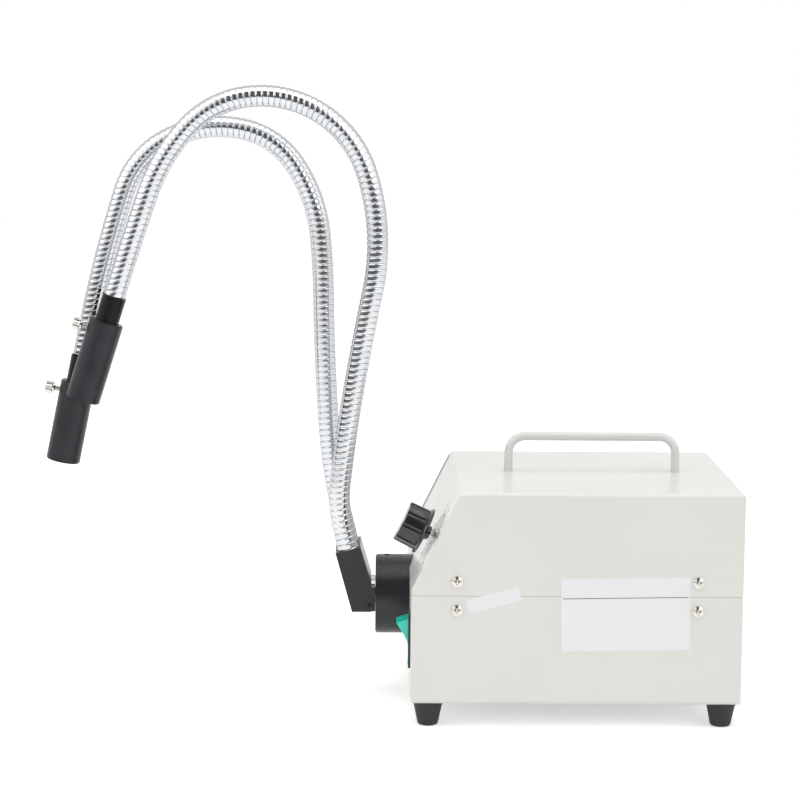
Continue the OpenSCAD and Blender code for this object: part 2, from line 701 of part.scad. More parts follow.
// The frame at the distance s along a hose: local z runs on along it.
module along_hose(side, s) {
    p = route_at(side, s);
    translate([side * arm_x, p.x, p.y]) rotate([p.z, 0, 0]) children();
}

module guide_plug() on_bench() color(steel) difference() {
    facing_front(0, plug_end - 0.3, port_z) {
        cylinder(d1 = plug_d - 1.6, d2 = plug_d, h = 0.8);
        translate([0, 0, 0.8]) cylinder(d = plug_d, h = plug_end - 0.3 - plug_back - 0.8);
    }
    facing_front(0, 10, port_z) cylinder(d = common_d + 2 * fit, h = 60);
}

module guide_block() on_bench() color("#33383a") difference() {
    union() {
        rotate([90, 0, 90]) translate([0, 0, -block_w / 2])
            linear_extrude(block_w) polygon(block_outline);
        rotate([90, 0, 90]) translate([0, 0, -block_w / 2])
            linear_extrude(block_w) polygon(block_land);
    }
    rotate([90, 0, 90]) translate([0, 0, 2.5 - block_w / 2])
        linear_extrude(block_w - 5) polygon(chamber);
    facing_front(0, 0, port_z) cylinder(d = plug_d + 2 * fit, h = -plug_back);
    facing_front(0, 0, port_z) cylinder(d = plug_d - 6, h = -plug_back + 2);
    for (side = [-1, 1]) along_hose(side, -socket) {
        cylinder(d = hose_d + 0.6, h = socket + 1);
        translate([0, 0, -8]) cylinder(d = bundle_d + 4.4, h = 9);
    }
    for (side = [-1, 1]) at_block_screw(side, block_w / 2 + 1)
        cylinder(d = 4 + 2 * fit, h = block_w / 2);
}

// The screws that hold the plug in the block, a little below its axis.
module at_block_screw(side, x)
    translate([side * x, neck_y - 1.4, port_z - 4]) rotate([0, -side * 90, 0]) children();

module block_screws() on_bench() color(black)
    for (side = [-1, 1]) at_block_screw(side, block_w / 2 - 0.8)
        difference() {
            cylinder(d = 4, h = block_w / 2 - 0.8 - plug_d / 2 - 0.3);
            translate([0, 0, -1]) cylinder(d = 2.4, h = 3.5, $fn = 6);
        }

module fiber_common_end() on_bench() color("#e8ecee")
    facing_front(0, plug_end - 0.6, port_z) cylinder(d = common_d, h = plug_end - 0.6 - plug_back);

// ---- light guide: hose routes ------------------------------------------------------------------
// Each route is a chain of [length, turn] pieces. It leaves the block along its lean, and a
// positive turn bends it forwards. The arm on +X is the near one.
near_route = [
    [16, 0], [33, -20], [75, -3.5], [73, -2], [89, 29.5], [42, 30], [77, 54], [44, 35], [59, 24],
    [63, 1.5], [16, 0]];
far_route = [
    [16, 0], [15, -2.5], [63, -7.5], [96, -3], [45, 4.5], [57, 28], [47, 43.5], [63, 43], [48, 42],
    [114, 6.5], [16, 0]];
function route(side) = side > 0 ? near_route : far_route;
function route_len(side, i = 0) = i == len(route(side)) ? 0 : route(side)[i][0] + route_len(side, i + 1);

// Where the bends are: the base bends over base_end, and the crown round its middle.
base_end = 80;
base_hinge = 40;
near_crown = 388;
far_crown = 358;
crown_half = 50;
function crown(side) = side > 0 ? near_crown : far_crown;

// One arc from [y, z, lean] over the length s at a steady bend.
function advance(p, s, bend) =
    let (a = p.z, b = p.z + s * bend)
        abs(bend) < 1e-6 ? [p.x - s * sin(a), p.y + s * cos(a), a]
                         : let (r = 180 / PI / bend) [p.x + r * (cos(b) - cos(a)), p.y + r * (sin(b) - sin(a)), b];

// The place [y, z, lean] at the distance s along a route.
function walk(pieces, s, p, i = 0) =
    let (l = pieces[i][0], bend = pieces[i][1] / l)
        s <= l || i == len(pieces) - 1 ? advance(p, s, bend)
                                       : walk(pieces, s - l, advance(p, l, bend), i + 1);
function route_at(side, s) = walk(route(side), s, [exit.x, exit.y, block_lean]);
function on_route(side, s) = let (p = route_at(side, s)) [side * arm_x, p.x, p.y];

// ---- swept tubes -------------------------------------------------------------------------------
// A ring of n points of radius r round the point p, square to the direction t.
function ring(p, t, r, n) =
    let (u = unit(cross(t, [1, 0, 0])), v = cross(unit(t), u))
        [for (k = [0:n - 1]) p + r * (u * cos(360 * (k + 0.5) / n) + v * sin(360 * (k + 0.5) / n))];

function tangent(path, i) = path[min(i + 1, len(path) - 1)] - path[max(i - 1, 0)];

// Triangles between ring a and ring b, of n points each, that start at those indexes.
function band(a, b, n, flip = false) = [
    for (k = [0:n - 1]) let (m = (k + 1) % n)
        each flip ? [[a + k, a + m, b + k], [a + m, b + m, b + k]]
                  : [[a + k, b + k, a + m], [a + m, b + k, b + m]]];
function fan(a, n, flip = false) =
    [for (k = [1:n - 2]) flip ? [a, a + k, a + k + 1] : [a, a + k + 1, a + k]];

// A solid tube of radius r along a path of points.
module cord(path, r, n = 8) {
    points = [for (i = [0:len(path) - 1]) each ring(path[i], tangent(path, i), r, n)];
    last = (len(path) - 1) * n;
    polyhedron(points, concat(
        fan(0, n, true), fan(last, n),
        [for (i = [0:len(path) - 2]) each band(i * n, (i + 1) * n, n)]));
}

// A ribbed hose along a route from s0 to s1: two rings of eight points a rib, and a plain bore.
sides = 8;
bore_every = 4;
crest_r = hose_d / 2;
module ribbed_hose(side, s0, s1) {
    ribs = round((s1 - s0) / rib_pitch);
    step = (s1 - s0) / ribs;
    outer = concat([[s0, crest_r - rib_depth]],
                   [for (i = [0:ribs - 1]) each [[s0 + (i + 0.3) * step, crest_r],
                                                 [s0 + (i + 0.95) * step, crest_r - rib_depth]]]);
    ends = concat(outer, [[s1, crest_r - rib_depth]]);
    stations = [for (i = [0:len(ends) - 1]) if (i != len(ends) - 2) ends[i]];
    inner_n = max(1, round(ribs / bore_every));
    inner = [for (i = [0:inner_n]) [s0 + (s1 - s0) * i / inner_n, hose_bore / 2]];
    all = concat(stations, inner);
    points = [for (q = all) each let (p = route_at(side, q[0]))
        ring([side * arm_x, p.x, p.y], [0, -sin(p.z), cos(p.z)], q[1], sides)];
    first = len(stations) * sides;
    last = (len(stations) - 1) * sides;
    polyhedron(points, concat(
        [for (i = [0:len(stations) - 2]) each band(i * sides, (i + 1) * sides, sides)],
        [for (i = [0:inner_n - 1]) each band(first + i * sides, first + (i + 1) * sides, sides, true)],
        band(0, first, sides, true),
        band(last, first + inner_n * sides, sides)));
}

hose_tail = 9;                      // how far a hose reaches into its ferrule
cut = 0.05;                         // between two stretches of one hose

module hose_base(side) color(steel) ribbed_hose(side, -socket + 0.2, base_end - cut);
module hose_mid(side) color(steel) ribbed_hose(side, base_end + cut, crown(side) - crown_half - cut);
module hose_crown(side) color(steel) ribbed_hose(side, crown(side) - crown_half + cut, crown(side) + crown_half - cut);
module hose_end(side) color(steel) ribbed_hose(side, crown(side) + crown_half + cut, route_len(side) + hose_tail);

module near_hose_base() on_bench() hose_base(1);
module near_hose_mid() on_bench() hose_mid(1);
module near_hose_crown() on_bench() hose_crown(1);
module near_hose_end() on_bench() hose_end(1);
module far_hose_base() on_bench() hose_base(-1);
module far_hose_mid() on_bench() hose_mid(-1);
module far_hose_crown() on_bench() hose_crown(-1);
module far_hose_end() on_bench() hose_end(-1);

// The two bundles spread from the plug and rise into their hoses.
function bezier(a, b, c, d, t) =
    a * pow(1 - t, 3) + 3 * b * t * pow(1 - t, 2) + 3 * c * t * t * (1 - t) + d * pow(t, 3);
function branch(side) =
    let (a = [side * (bundle_d / 2 + 0.3), plug_back - 0.4, port_z],
         d = on_route(side, -socket - 2),
         down = [0, -lean.x, -lean.y])
        concat([a], [for (i = [0:8]) bezier(a - [0, 1, 0], a - [0, 6, 0], d + 14 * down, d, i / 8)]);

module fiber_branches() on_bench() color("#e8ecee")
    for (side = [-1, 1])
        cord(concat(branch(side), run(side, 4 - socket, base_hinge - hinge_gap)), bundle_d / 2);

// The bundle in a hose from s0 to s1. At each bend two stretches stop short of the hinge.
hinge_gap = 1.9;
cord_step = 16;
function run(side, s0, s1) = let (n = ceil((s1 - s0) / cord_step))
    [for (i = [0:n]) on_route(side, s0 + (s1 - s0) * i / n)];
module fiber_mid(side) color("#e8ecee")
    cord(run(side, base_hinge + hinge_gap, crown(side) - hinge_gap), bundle_d / 2);
module fiber_end(side) color("#e8ecee")
    cord(run(side, crown(side) + hinge_gap, route_len(side) + ferrule_len), bundle_d / 2);
module near_fiber_mid() on_bench() fiber_mid(1);
module near_fiber_end() on_bench() fiber_end(1);
module far_fiber_mid() on_bench() fiber_mid(-1);
module far_fiber_end() on_bench() fiber_end(-1);

// ---- light heads -------------------------------------------------------------------------------
// A head's frame: z runs down out of the hose's end, and the sleeve starts at ferrule_show.
module at_head(side) along_hose(side, route_len(side)) children();

ferrule_len = ferrule_show + 30;
sleeve_top = ferrule_show;
sleeve_end = sleeve_top + sleeve_len;
sleeve_grip = 40;                   // length of the sleeve's bore on the ferrule
lens_recess = 2;
lens_t = 5;

module ferrule(side) color(black) at_head(side) difference() {
    union() {
        cylinder(d = ferrule_d, h = ferrule_len);
        cylinder(d = ferrule_d - 0.6, h = ferrule_len + 0.4);
    }
    translate([0, 0, -1]) cylinder(d = hose_d + 0.6, h = hose_tail + 1.4);
    translate([0, 0, 1]) cylinder(d = bundle_d + 2 * fit, h = ferrule_len + 1);
}

module sleeve(side) color("#3c3e40") at_head(side) difference() {
    union() {
        translate([0, 0, sleeve_top + 0.8]) cylinder(d = sleeve_d, h = sleeve_len - 1.6);
        translate([0, 0, sleeve_top]) cylinder(d = sleeve_d - 1.6, h = sleeve_len);
    }
    translate([0, 0, sleeve_top - 1]) cylinder(d = ferrule_d + 2 * fit, h = sleeve_grip + 1);
    translate([0, 0, sleeve_top + sleeve_grip - tiny])
        cylinder(d = lens_d - 2, h = sleeve_len - sleeve_grip + 1);
    translate([0, 0, sleeve_end - lens_recess - lens_t])
        cylinder(d = lens_d + 2 * fit, h = lens_recess + lens_t + 1);
    translate([0, 0, sleeve_top + thumb_drop]) rotate([-90, 0, 0])
        cylinder(d = thumb_thread + 2 * fit, h = sleeve_d);
}

thumb_thread = 4;
thumb_gap = 5.2;                    // from the sleeve to a thumb screw's head

module lens(side) color("#cfe4ea") at_head(side) translate([0, 0, sleeve_end - lens_recess - lens_t])
    intersection() {
        cylinder(d = lens_d, h = lens_t);
        translate([0, 0, lens_t - lens_d]) sphere(r = lens_d, $fn = 96);
    }

// The thumb screw's own axis runs out of the sleeve's front.
module thumb_screw(side) color(steel) at_head(side) translate([0, 0, sleeve_top + thumb_drop])
    rotate([-90, 0, 0]) {
        grip = ferrule_d / 2 + 0.3;
        reach = sleeve_d / 2 + thumb_gap;
        translate([0, 0, grip]) cylinder(d = thumb_thread, h = reach - grip + 1);
        translate([0, 0, reach]) linear_extrude(5.5) difference() {
            circle(d = thumb_d);
            for (k = [0:17]) rotate(k * 20) translate([thumb_d / 2 + 0.25, 0]) circle(r = 0.6, $fn = 16);
        }
        translate([0, 0, reach - 1.4]) cylinder(d = thumb_d - 3, h = 1.5);
    }

module near_ferrule() on_bench() ferrule(1);
module near_sleeve() on_bench() sleeve(1);
module near_lens() on_bench() lens(1);
module near_thumb_screw() on_bench() thumb_screw(1);
module far_ferrule() on_bench() ferrule(-1);
module far_sleeve() on_bench() sleeve(-1);
module far_lens() on_bench() lens(-1);
module far_thumb_screw() on_bench() thumb_screw(-1);

// ---- the assembly ------------------------------------------------------------------------------
top_cover();
base_tray();
side_brackets();
cover_screws();
feet();
carry_handle();
frame_screws();
port_collar();
port_ring();
port_bracket();
port_screws();
port_set_screw();
lens_holder();
condenser_lens();
led_emitter();
led_board();
heat_sink();
sink_posts();
driver_board();
board_components();
board_standoffs();
dimmer_pot();
pot_nut();
switch_housing();
fan_frame();
fan_guard();
mains_inlet();
inlet_pins();
inlet_screws();
fuse_drawer();
dimmer_knob();
knob_cap();
pot_shaft();
power_rocker();
fan_rotor();
guide_plug();
guide_block();
block_screws();
fiber_common_end();
fiber_branches();
near_hose_base();
near_hose_mid();
near_hose_crown();
near_hose_end();
near_fiber_mid();
near_fiber_end();
near_ferrule();
near_sleeve();
near_lens();
near_thumb_screw();
far_hose_base();
far_hose_mid();
far_hose_crown();
far_hose_end();
far_fiber_mid();
far_fiber_end();
far_ferrule();
far_sleeve();
far_lens();
far_thumb_screw();
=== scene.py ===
"""Fiber optic illuminator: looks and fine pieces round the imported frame.

The scene is in metres. Sizes in this script are in millimetres and angles in degrees, unless a
comment says otherwise.
"""
import json
import math

import bpy
import bmesh
from mathutils import Matrix, Vector


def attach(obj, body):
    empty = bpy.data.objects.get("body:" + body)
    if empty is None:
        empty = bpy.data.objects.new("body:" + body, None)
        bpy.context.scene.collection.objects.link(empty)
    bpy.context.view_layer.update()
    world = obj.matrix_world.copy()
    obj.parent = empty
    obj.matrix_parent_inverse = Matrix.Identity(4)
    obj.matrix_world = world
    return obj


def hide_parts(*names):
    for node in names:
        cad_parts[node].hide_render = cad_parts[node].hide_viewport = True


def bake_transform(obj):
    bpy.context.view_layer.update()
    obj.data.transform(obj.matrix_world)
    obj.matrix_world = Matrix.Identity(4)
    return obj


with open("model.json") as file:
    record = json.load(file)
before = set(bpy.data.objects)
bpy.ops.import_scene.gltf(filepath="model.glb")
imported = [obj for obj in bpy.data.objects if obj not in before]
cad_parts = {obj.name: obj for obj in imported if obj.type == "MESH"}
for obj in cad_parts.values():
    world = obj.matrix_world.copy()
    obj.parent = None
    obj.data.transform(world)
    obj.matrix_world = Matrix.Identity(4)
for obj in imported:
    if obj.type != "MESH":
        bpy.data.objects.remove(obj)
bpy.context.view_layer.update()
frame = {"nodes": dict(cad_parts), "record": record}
scene = bpy.context.scene
nodes = frame["nodes"]
MM = 0.001

# ---- the part's driving sizes ---------------------------------------------------------------------
# They are given in the box's frame, where y = 0 is its front face and z = 0 its underside.
FRONT_Y, FOOT_H = 16.0, 18.0
BOX_W, BOX_H = 200.0, 155.0
LIP_H, SLOPE_RUN = 84.0, 35.0
SLOPE_ANG = math.atan2(BOX_H - LIP_H, SLOPE_RUN)      # radians
SLOPE_LEN = math.hypot(BOX_H - LIP_H, SLOPE_RUN)
CONTROL_X = 68.0                                      # the knob and the rocker stand in one column
KNOB_T, KNOB_LIFT, KNOB_H = 37.8, 7.5, 18.4           # up the slope, off it, and the body's height
KNOB_D, SKIRT_D = 31.0, 35.0
HOSE_D, RIB_PITCH, ARM_X = 15.8, 4.45, 14.0
FERRULE_SHOW, SLEEVE_D = 20.0, 25.5
THUMB_DROP, THUMB_D, THUMB_GAP = 8.0, 10.0, 5.2
SWITCH_Z, ROCKER_TILT, PIVOT_Y = 41.5, 15.0, 3.0


def bench(x, y, z):
    """A point of the box's frame, in metres in the scene."""
    return Vector((x * MM, (y + FRONT_Y) * MM, (z + FOOT_H) * MM))


# ---- camera ---------------------------------------------------------------------------------------
FOCAL_PX, IMAGE_PX, SENSOR_MM = 2332.0, 800.0, 36.0
CAM_PITCH, CAM_YAW, CAM_ROLL = (math.radians(d) for d in (7.63, -0.75, 0.47))
CAM_AT = bench(1743.8, -30.8, 442.3)
CLIP_END = 20       # metres


def make_camera():
    """The camera fitted to the photograph."""
    back = Vector((math.cos(CAM_YAW) * math.cos(CAM_PITCH),
                   math.sin(CAM_YAW) * math.cos(CAM_PITCH), math.sin(CAM_PITCH)))
    level = (-back).cross(Vector((0, 0, 1))).normalized()
    rise = level.cross(-back)
    right = math.cos(CAM_ROLL) * level + math.sin(CAM_ROLL) * rise
    up = -math.sin(CAM_ROLL) * level + math.cos(CAM_ROLL) * rise
    data = bpy.data.cameras.new("camera")
    data.sensor_width = SENSOR_MM
    data.lens = FOCAL_PX / IMAGE_PX * SENSOR_MM
    data.clip_end = CLIP_END
    cam = bpy.data.objects.new("camera", data)
    scene.collection.objects.link(cam)
    turn = Matrix((right, up, back)).transposed().to_4x4()
    cam.matrix_world = Matrix.Translation(CAM_AT) @ turn
    scene.camera = cam


make_camera()
scene.view_settings.view_transform = "Standard"

# ---- materials ------------------------------------------------------------------------------------
NOISE_LOW, NOISE_HIGH = 0.3, 0.7        # the range that most of a noise texture lies in
MIX_FACTOR, MIX_A, MIX_B, MIX_OUT = 0, 6, 7, 2      # the sockets of a Mix node for colours


def linear(value):
    """One channel of an sRGB colour, 0 to 255, as linear light."""
    v = value / 255
    return v / 12.92 if v <= 0.04045 else ((v + 0.055) / 1.055) ** 2.4


def srgb(*color):
    return tuple(linear(v) for v in color) + (1,)


class Mat:
    """A Principled material with short ways to add noise to its colour, roughness and surface.

    Scales of noise are per metre, and keyword arguments name sockets, as in coat_weight.
    """

    def __init__(self, name, color, rough=0.5, metal=0.0, **sockets):
        self.mat = bpy.data.materials.new(name)
        self.mat.use_nodes = True
        self.tree = self.mat.node_tree
        self.bsdf = self.tree.nodes["Principled BSDF"]
        self.bsdf.inputs["Base Color"].default_value = srgb(*color)
        self.bsdf.inputs["Roughness"].default_value = rough
        self.bsdf.inputs["Metallic"].default_value = metal
        for key, value in sockets.items():
            socket = key.replace("_", " ").title().replace("Ior", "IOR")
            self.bsdf.inputs[socket].default_value = value
        self.height = None
        self.color = color
        self.rough = rough

    def node(self, kind, **values):
        """A new node, with its sockets and settings given by name."""
        n = self.tree.nodes.new(kind)
        for key, value in values.items():
            if key in n.inputs:
                n.inputs[key].default_value = value
            else:
                setattr(n, key, value)
        return n

    def link(self, a, b):
        self.tree.links.new(a, b)

    def noise(self, scale, detail=3.0):
        coord = self.node("ShaderNodeTexCoord")
        tex = self.node("ShaderNodeTexNoise", Scale=scale, Detail=detail)
        self.link(coord.outputs["Object"], tex.inputs["Vector"])
        return tex.outputs["Fac"]

    def ramp(self, fac, low, high):
        """The noise stretched to run from low to high."""
        r = self.node("ShaderNodeMapRange")
        r.inputs["From Min"].default_value = NOISE_LOW
        r.inputs["From Max"].default_value = NOISE_HIGH
        r.inputs["To Min"].default_value = low
        r.inputs["To Max"].default_value = high
        self.link(fac, r.inputs["Value"])
        return r.outputs["Result"]

    def mottle(self, scale, other, detail=3.0):
        """The colour drifts towards other."""
        mix = self.node("ShaderNodeMix", data_type="RGBA")
        mix.inputs[MIX_A].default_value = srgb(*self.color)
        mix.inputs[MIX_B].default_value = srgb(*other)
        self.link(self.ramp(self.noise(scale, detail), 0, 1), mix.inputs[MIX_FACTOR])
        self.link(mix.outputs[MIX_OUT], self.bsdf.inputs["Base Color"])
        return self

    def vary_rough(self, scale, swing):
        """The roughness swings round its own value."""
        low, high = self.rough - swing, self.rough + swing
        self.link(self.ramp(self.noise(scale), low, high), self.bsdf.inputs["Roughness"])
        return self

    def bump(self, scale, depth, detail=2.0):
        """Bumps of a real depth in micrometres, laid over those already there."""
        b = self.node("ShaderNodeBump", Distance=depth * 1e-6, Strength=1.0)
        self.link(self.noise(scale, detail), b.inputs["Height"])
        if self.height:
            self.link(self.height, b.inputs["Normal"])
        self.height = b.outputs["Normal"]
        self.link(self.height, self.bsdf.inputs["Normal"])
        return self


# Paint and film
PAINT = (Mat("housing_paint", (224, 222, 217), 0.35, coat_weight=0.3, coat_roughness=0.09)
         .mottle(9, (220, 218, 212)).vary_rough(30, 0.03).bump(900, 12, 1).bump(260, 20, 1).mat)
# Painted shade: a darker grey for the lip along the slope's far edge, for the shading there.
PAINTED_SHADE_LIP = (Mat("lip_painted_shade", (168, 167, 164), 0.7, specular_ior_level=0.2)
              .mottle(60, (175, 174, 171)).mat)
HANDLE = (Mat("handle_paint", (214, 214, 212), 0.32, coat_weight=0.6, coat_roughness=0.06)
          .mottle(12, (208, 208, 206)).bump(900, 10, 1).mat)
LABEL = (Mat("label_film", (231, 233, 234), 0.34, coat_weight=0.15)
         .mottle(30, (228, 230, 231)).bump(420, 10).mat)
INK = Mat("ink_grey", (72, 74, 78), 0.5).mottle(400, (84, 86, 90)).mat
INK_BLACK = Mat("ink_black", (30, 31, 33), 0.4).mottle(300, (38, 39, 41)).mat
WHITE_INK = Mat("ink_white", (236, 236, 232), 0.4).mottle(300, (226, 226, 222)).mat

# Plastic and rubber
BLACK = (Mat("black_plastic", (27, 28, 30), 0.38)
         .mottle(60, (34, 35, 37)).vary_rough(90, 0.05).bump(2600, 12).mat)
KNOB = (Mat("knob_plastic", (20, 22, 22), 0.24, coat_weight=0.7, coat_roughness=0.07,
            specular_ior_level=0.3)
        .mottle(80, (32, 33, 34)).bump(1800, 6).mat)
RUBBER = (Mat("foot_rubber", (46, 47, 46), 0.62, specular_ior_level=0.35)
          .mottle(50, (53, 54, 52)).vary_rough(80, 0.06).bump(1400, 30).mat)
TEAL = (Mat("teal_plastic", (38, 222, 200), 0.20, coat_weight=0.4, coat_roughness=0.06)
        .mottle(40, (30, 212, 190)).bump(1500, 6).mat)

# Anodised aluminium
ANODISED = (Mat("black_anodised", (32, 33, 35), 0.34, 0.2)
            .mottle(40, (38, 39, 41)).vary_rough(120, 0.04).bump(1800, 4).mat)
ANODISED_GREY = (Mat("grey_anodised", (45, 47, 50), 0.34, 0.3, specular_ior_level=0.25)
                 .mottle(40, (56, 58, 61)).vary_rough(120, 0.04).bump(1600, 4).mat)
FERRULE = (Mat("ferrule_black", (15, 16, 17), 0.36, 0.1, specular_ior_level=0.2)
           .mottle(40, (24, 25, 26)).vary_rough(120, 0.05).mat)
BLOCK = (Mat("block_anodised", (27, 31, 32), 0.42, 0.15, coat_weight=0.4, coat_roughness=0.08,
             specular_ior_level=0.2)
         .mottle(30, (36, 40, 41)).vary_rough(90, 0.05).bump(2200, 8).mat)

# Bright metal
CHROME = (Mat("hose_steel", (212, 214, 216), 0.13, 1.0, specular_tint=(0.62, 0.62, 0.63, 1))
          .mottle(120, (203, 205, 208)).vary_rough(160, 0.03).mat)
CAP = (Mat("knob_cap_silver", (222, 223, 225), 0.14, 1.0)
       .mottle(150, (212, 213, 215)).vary_rough(300, 0.03).mat)
STEEL = (Mat("bright_steel", (205, 207, 209), 0.20, 1.0)
         .mottle(140, (188, 190, 193)).vary_rough(220, 0.05).mat)
SCREW = (Mat("screw_nickel", (214, 212, 203), 0.17, 1.0)
         .mottle(300, (198, 196, 186)).vary_rough(500, 0.04).mat)
THUMB = (Mat("thumb_nickel", (216, 215, 211), 0.15, 1.0)
         .mottle(300, (202, 201, 196)).vary_rough(500, 0.04).mat)
ALU = (Mat("satin_aluminium", (212, 214, 216), 0.22, 1.0)
       .mottle(90, (200, 202, 205)).vary_rough(300, 0.04).mat)
BRASS = Mat("brass_pins", (206, 174, 104), 0.25, 1.0).mottle(200, (190, 158, 92)).mat

# Glass and the boards inside
GLASS = (Mat("lens_glass", (228, 240, 243), 0.04, transmission_weight=1.0, ior=1.52)
         .mottle(10, (222, 236, 240)).mat)
FIBRE = (Mat("fibre_glass", (228, 232, 234), 0.3, coat_weight=0.5)
         .mottle(900, (196, 202, 206)).bump(1800, 40).mat)
LED = Mat("led_phosphor", (240, 214, 96), 0.35).mottle(200, (244, 224, 120)).mat
MASK_WHITE = Mat("board_white", (232, 235, 232), 0.4).mottle(60, (224, 227, 224)).mat
MASK_GREEN = (Mat("board_green", (40, 100, 64), 0.35)
              .mottle(160, (48, 112, 72), 6).bump(700, 30).mat)

BY_SLOT = {"housing_paint": PAINT, "black_plastic": BLACK, "foot_rubber": RUBBER,
           "black_anodised": ANODISED, "grey_anodised": ANODISED_GREY, "bright_steel": STEEL,
           "hose_steel": CHROME, "satin_aluminium": ALU, "lens_glass": GLASS,
           "fibre_glass": FIBRE, "led_phosphor": LED, "board_white": MASK_WHITE,
           "board_green": MASK_GREEN, "teal_plastic": TEAL, "brass_pins": BRASS}
OWN = {"guide_block": BLOCK, "carry_handle": HANDLE, "cover_screws": SCREW,
       "near_ferrule": FERRULE, "far_ferrule": FERRULE, "pot_nut": THUMB}
SLOT_OF = {s["node"]: s["material_slot"] for s in frame["record"]["subparts"]}
for node_name, node_object in nodes.items():
    node_object.data.materials.clear()
    node_object.data.materials.append(OWN.get(node_name, BY_SLOT[SLOT_OF[node_name]]))


# ---- mesh helpers ---------------------------------------------------------------------------------
def add(name, verts, faces, mat, body, slot, smooth=True, sharp=35):
    """A new piece of the object, in scene metres, that rides on a body."""
    mesh = bpy.data.meshes.new(name)
    mesh.from_pydata([tuple(v) for v in verts], [], faces)
    mesh.materials.append(mat)
    bm = bmesh.new()
    bm.from_mesh(mesh)
    bmesh.ops.recalc_face_normals(bm, faces=bm.faces)
    bm.to_mesh(mesh)
    bm.free()
    mesh.polygons.foreach_set("use_smooth", [smooth] * len(mesh.polygons))
    if smooth:
        mesh.set_sharp_from_angle(angle=math.radians(sharp))
    obj = bpy.data.objects.new(name, mesh)
    scene.collection.objects.link(obj)
    if body:
        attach(obj, body)
    return obj


def ring_faces(rings, n, first=0):
    """The quads between closed rings of n vertices each, from the vertex first on."""
    return [(first + j * n + k, first + j * n + (k + 1) % n,
             first + (j + 1) * n + (k + 1) % n, first + (j + 1) * n + k)
            for j in range(rings - 1) for k in range(n)]


def polar(radius, angle, height):
    """A local point in metres, from a radius and a height, and an angle in radians."""
    return Vector((radius * math.cos(angle) * MM, radius * math.sin(angle) * MM, height * MM))


def lathe(profile, place, n=64):
    """Vertices and faces of a profile of (radius, height) turned round local z."""
    verts, faces, rows = [], [], []
    for r, z in profile:
        if r == 0:
            rows.append([len(verts)])
            verts.append(place @ Vector((0, 0, z * MM)))
        else:
            rows.append(list(range(len(verts), len(verts) + n)))
            verts += [place @ polar(r, 2 * math.pi * k / n, z) for k in range(n)]
    for p, q in zip(rows, rows[1:]):
        for k in range(n):
            m = (k + 1) % n
            if len(p) == 1:
                faces.append((p[0], q[k], q[m]))
            elif len(q) == 1:
                faces.append((p[k], p[m], q[0]))
            else:
                faces.append((p[k], p[m], q[m], q[k]))
    return verts, faces


def prism(outline, place, z0, z1):
    """Vertices and faces of an outline of (x, y) drawn out from z0 to z1."""
    n = len(outline)
    verts = [place @ Vector((x * MM, y * MM, z * MM)) for z in (z0, z1) for x, y in outline]
    faces = [tuple(range(n))[::-1], tuple(range(n, 2 * n))]
    return verts, faces + ring_faces(2, n)


def joined(*parts):
    """Several (vertices, faces) as one."""
    verts, faces = [], []
    for v, f in parts:
        faces += [tuple(i + len(verts) for i in face) for face in f]
        verts += v
    return verts, faces


def rotation(axis, degrees):
    return Matrix.Rotation(math.radians(degrees), 4, axis)


def on_slope(x, t):
    """Local z is the slope's outward normal, x is the scene's X, and y runs up the slope."""
    at = bench(x, t * math.cos(SLOPE_ANG), LIP_H + t * math.sin(SLOPE_ANG))
    return Matrix.Translation(at) @ Matrix.Rotation(SLOPE_ANG, 4, "X")


def near_side(y, z, tilt):
    """Local z runs out of the box's near side, x along +Y and y up, all turned by tilt."""
    turn = Matrix(((0, 0, 1), (1, 0, 0), (0, 1, 0))).to_4x4()
    return Matrix.Translation(bench(BOX_W / 2, y, z)) @ turn @ rotation("Z", tilt)


def rectangle(x0, y0, x1, y1):
    return [(x0, y0), (x1, y0), (x1, y1), (x0, y1)]


def rounded_rect(w, h, r, n=6):
    """A rectangle about the origin, with n segments to each round corner."""
    out = []
    for sx, sy, start in ((1, 1, 0), (-1, 1, 90), (-1, -1, 180), (1, -1, 270)):
        cx, cy = sx * (w / 2 - r), sy * (h / 2 - r)
        for k in range(n + 1):
            a = math.radians(start + 90 * k / n)
            out.append((cx + r * math.cos(a), cy + r * math.sin(a)))
    return out


# ---- gooseneck hoses ------------------------------------------------------------------------------
# The routes of the source: [length, turn] from the block's top face, in the plane of Y and Z.
EXIT, LEAN = (-46.4, 97.5), 14.0
ROUTES = {
    "near": [(16, 0), (33, -20), (75, -3.5), (73, -2), (89, 29.5), (42, 30), (77, 54), (44, 35),
             (59, 24), (63, 1.5), (16, 0)],
    "far": [(16, 0), (15, -2.5), (63, -7.5), (96, -3), (45, 4.5), (57, 28), (47, 43.5), (63, 43),
            (48, 42), (114, 6.5), (16, 0)]}
SIDE = {"near": 1, "far": -1}
CROWN = {"near": 388.0, "far": 358.0}       # how far along each route its crown hinge lies
BASE_END, CROWN_HALF = 80.0, 50.0           # the bending stretches of the two hinges
HOSE_START, HOSE_TAIL = -8.6, 9.0           # how far the hose goes into the block and the ferrule
SPARE_TURNS = 2                             # the wound strip stops so many turns sooner
# One rib of the wound strip, as (share of the pitch, depth below the crest): a broad flat crest
# and a narrow lock between two turns.
RIB = [(0.00, 0.50), (0.05, 0.34), (0.09, 0.14), (0.13, 0.05), (0.18, 0.012), (0.25, 0.0),
       (0.50, 0.0), (0.75, 0.0), (0.82, 0.012), (0.87, 0.05), (0.91, 0.14), (0.95, 0.34)]
AROUND = 48             # steps round the hose
WELD = 0.002            # points of neighbouring turns that lie so near are one


def route_len(arm):
    return sum(length for length, _ in ROUTES[arm])


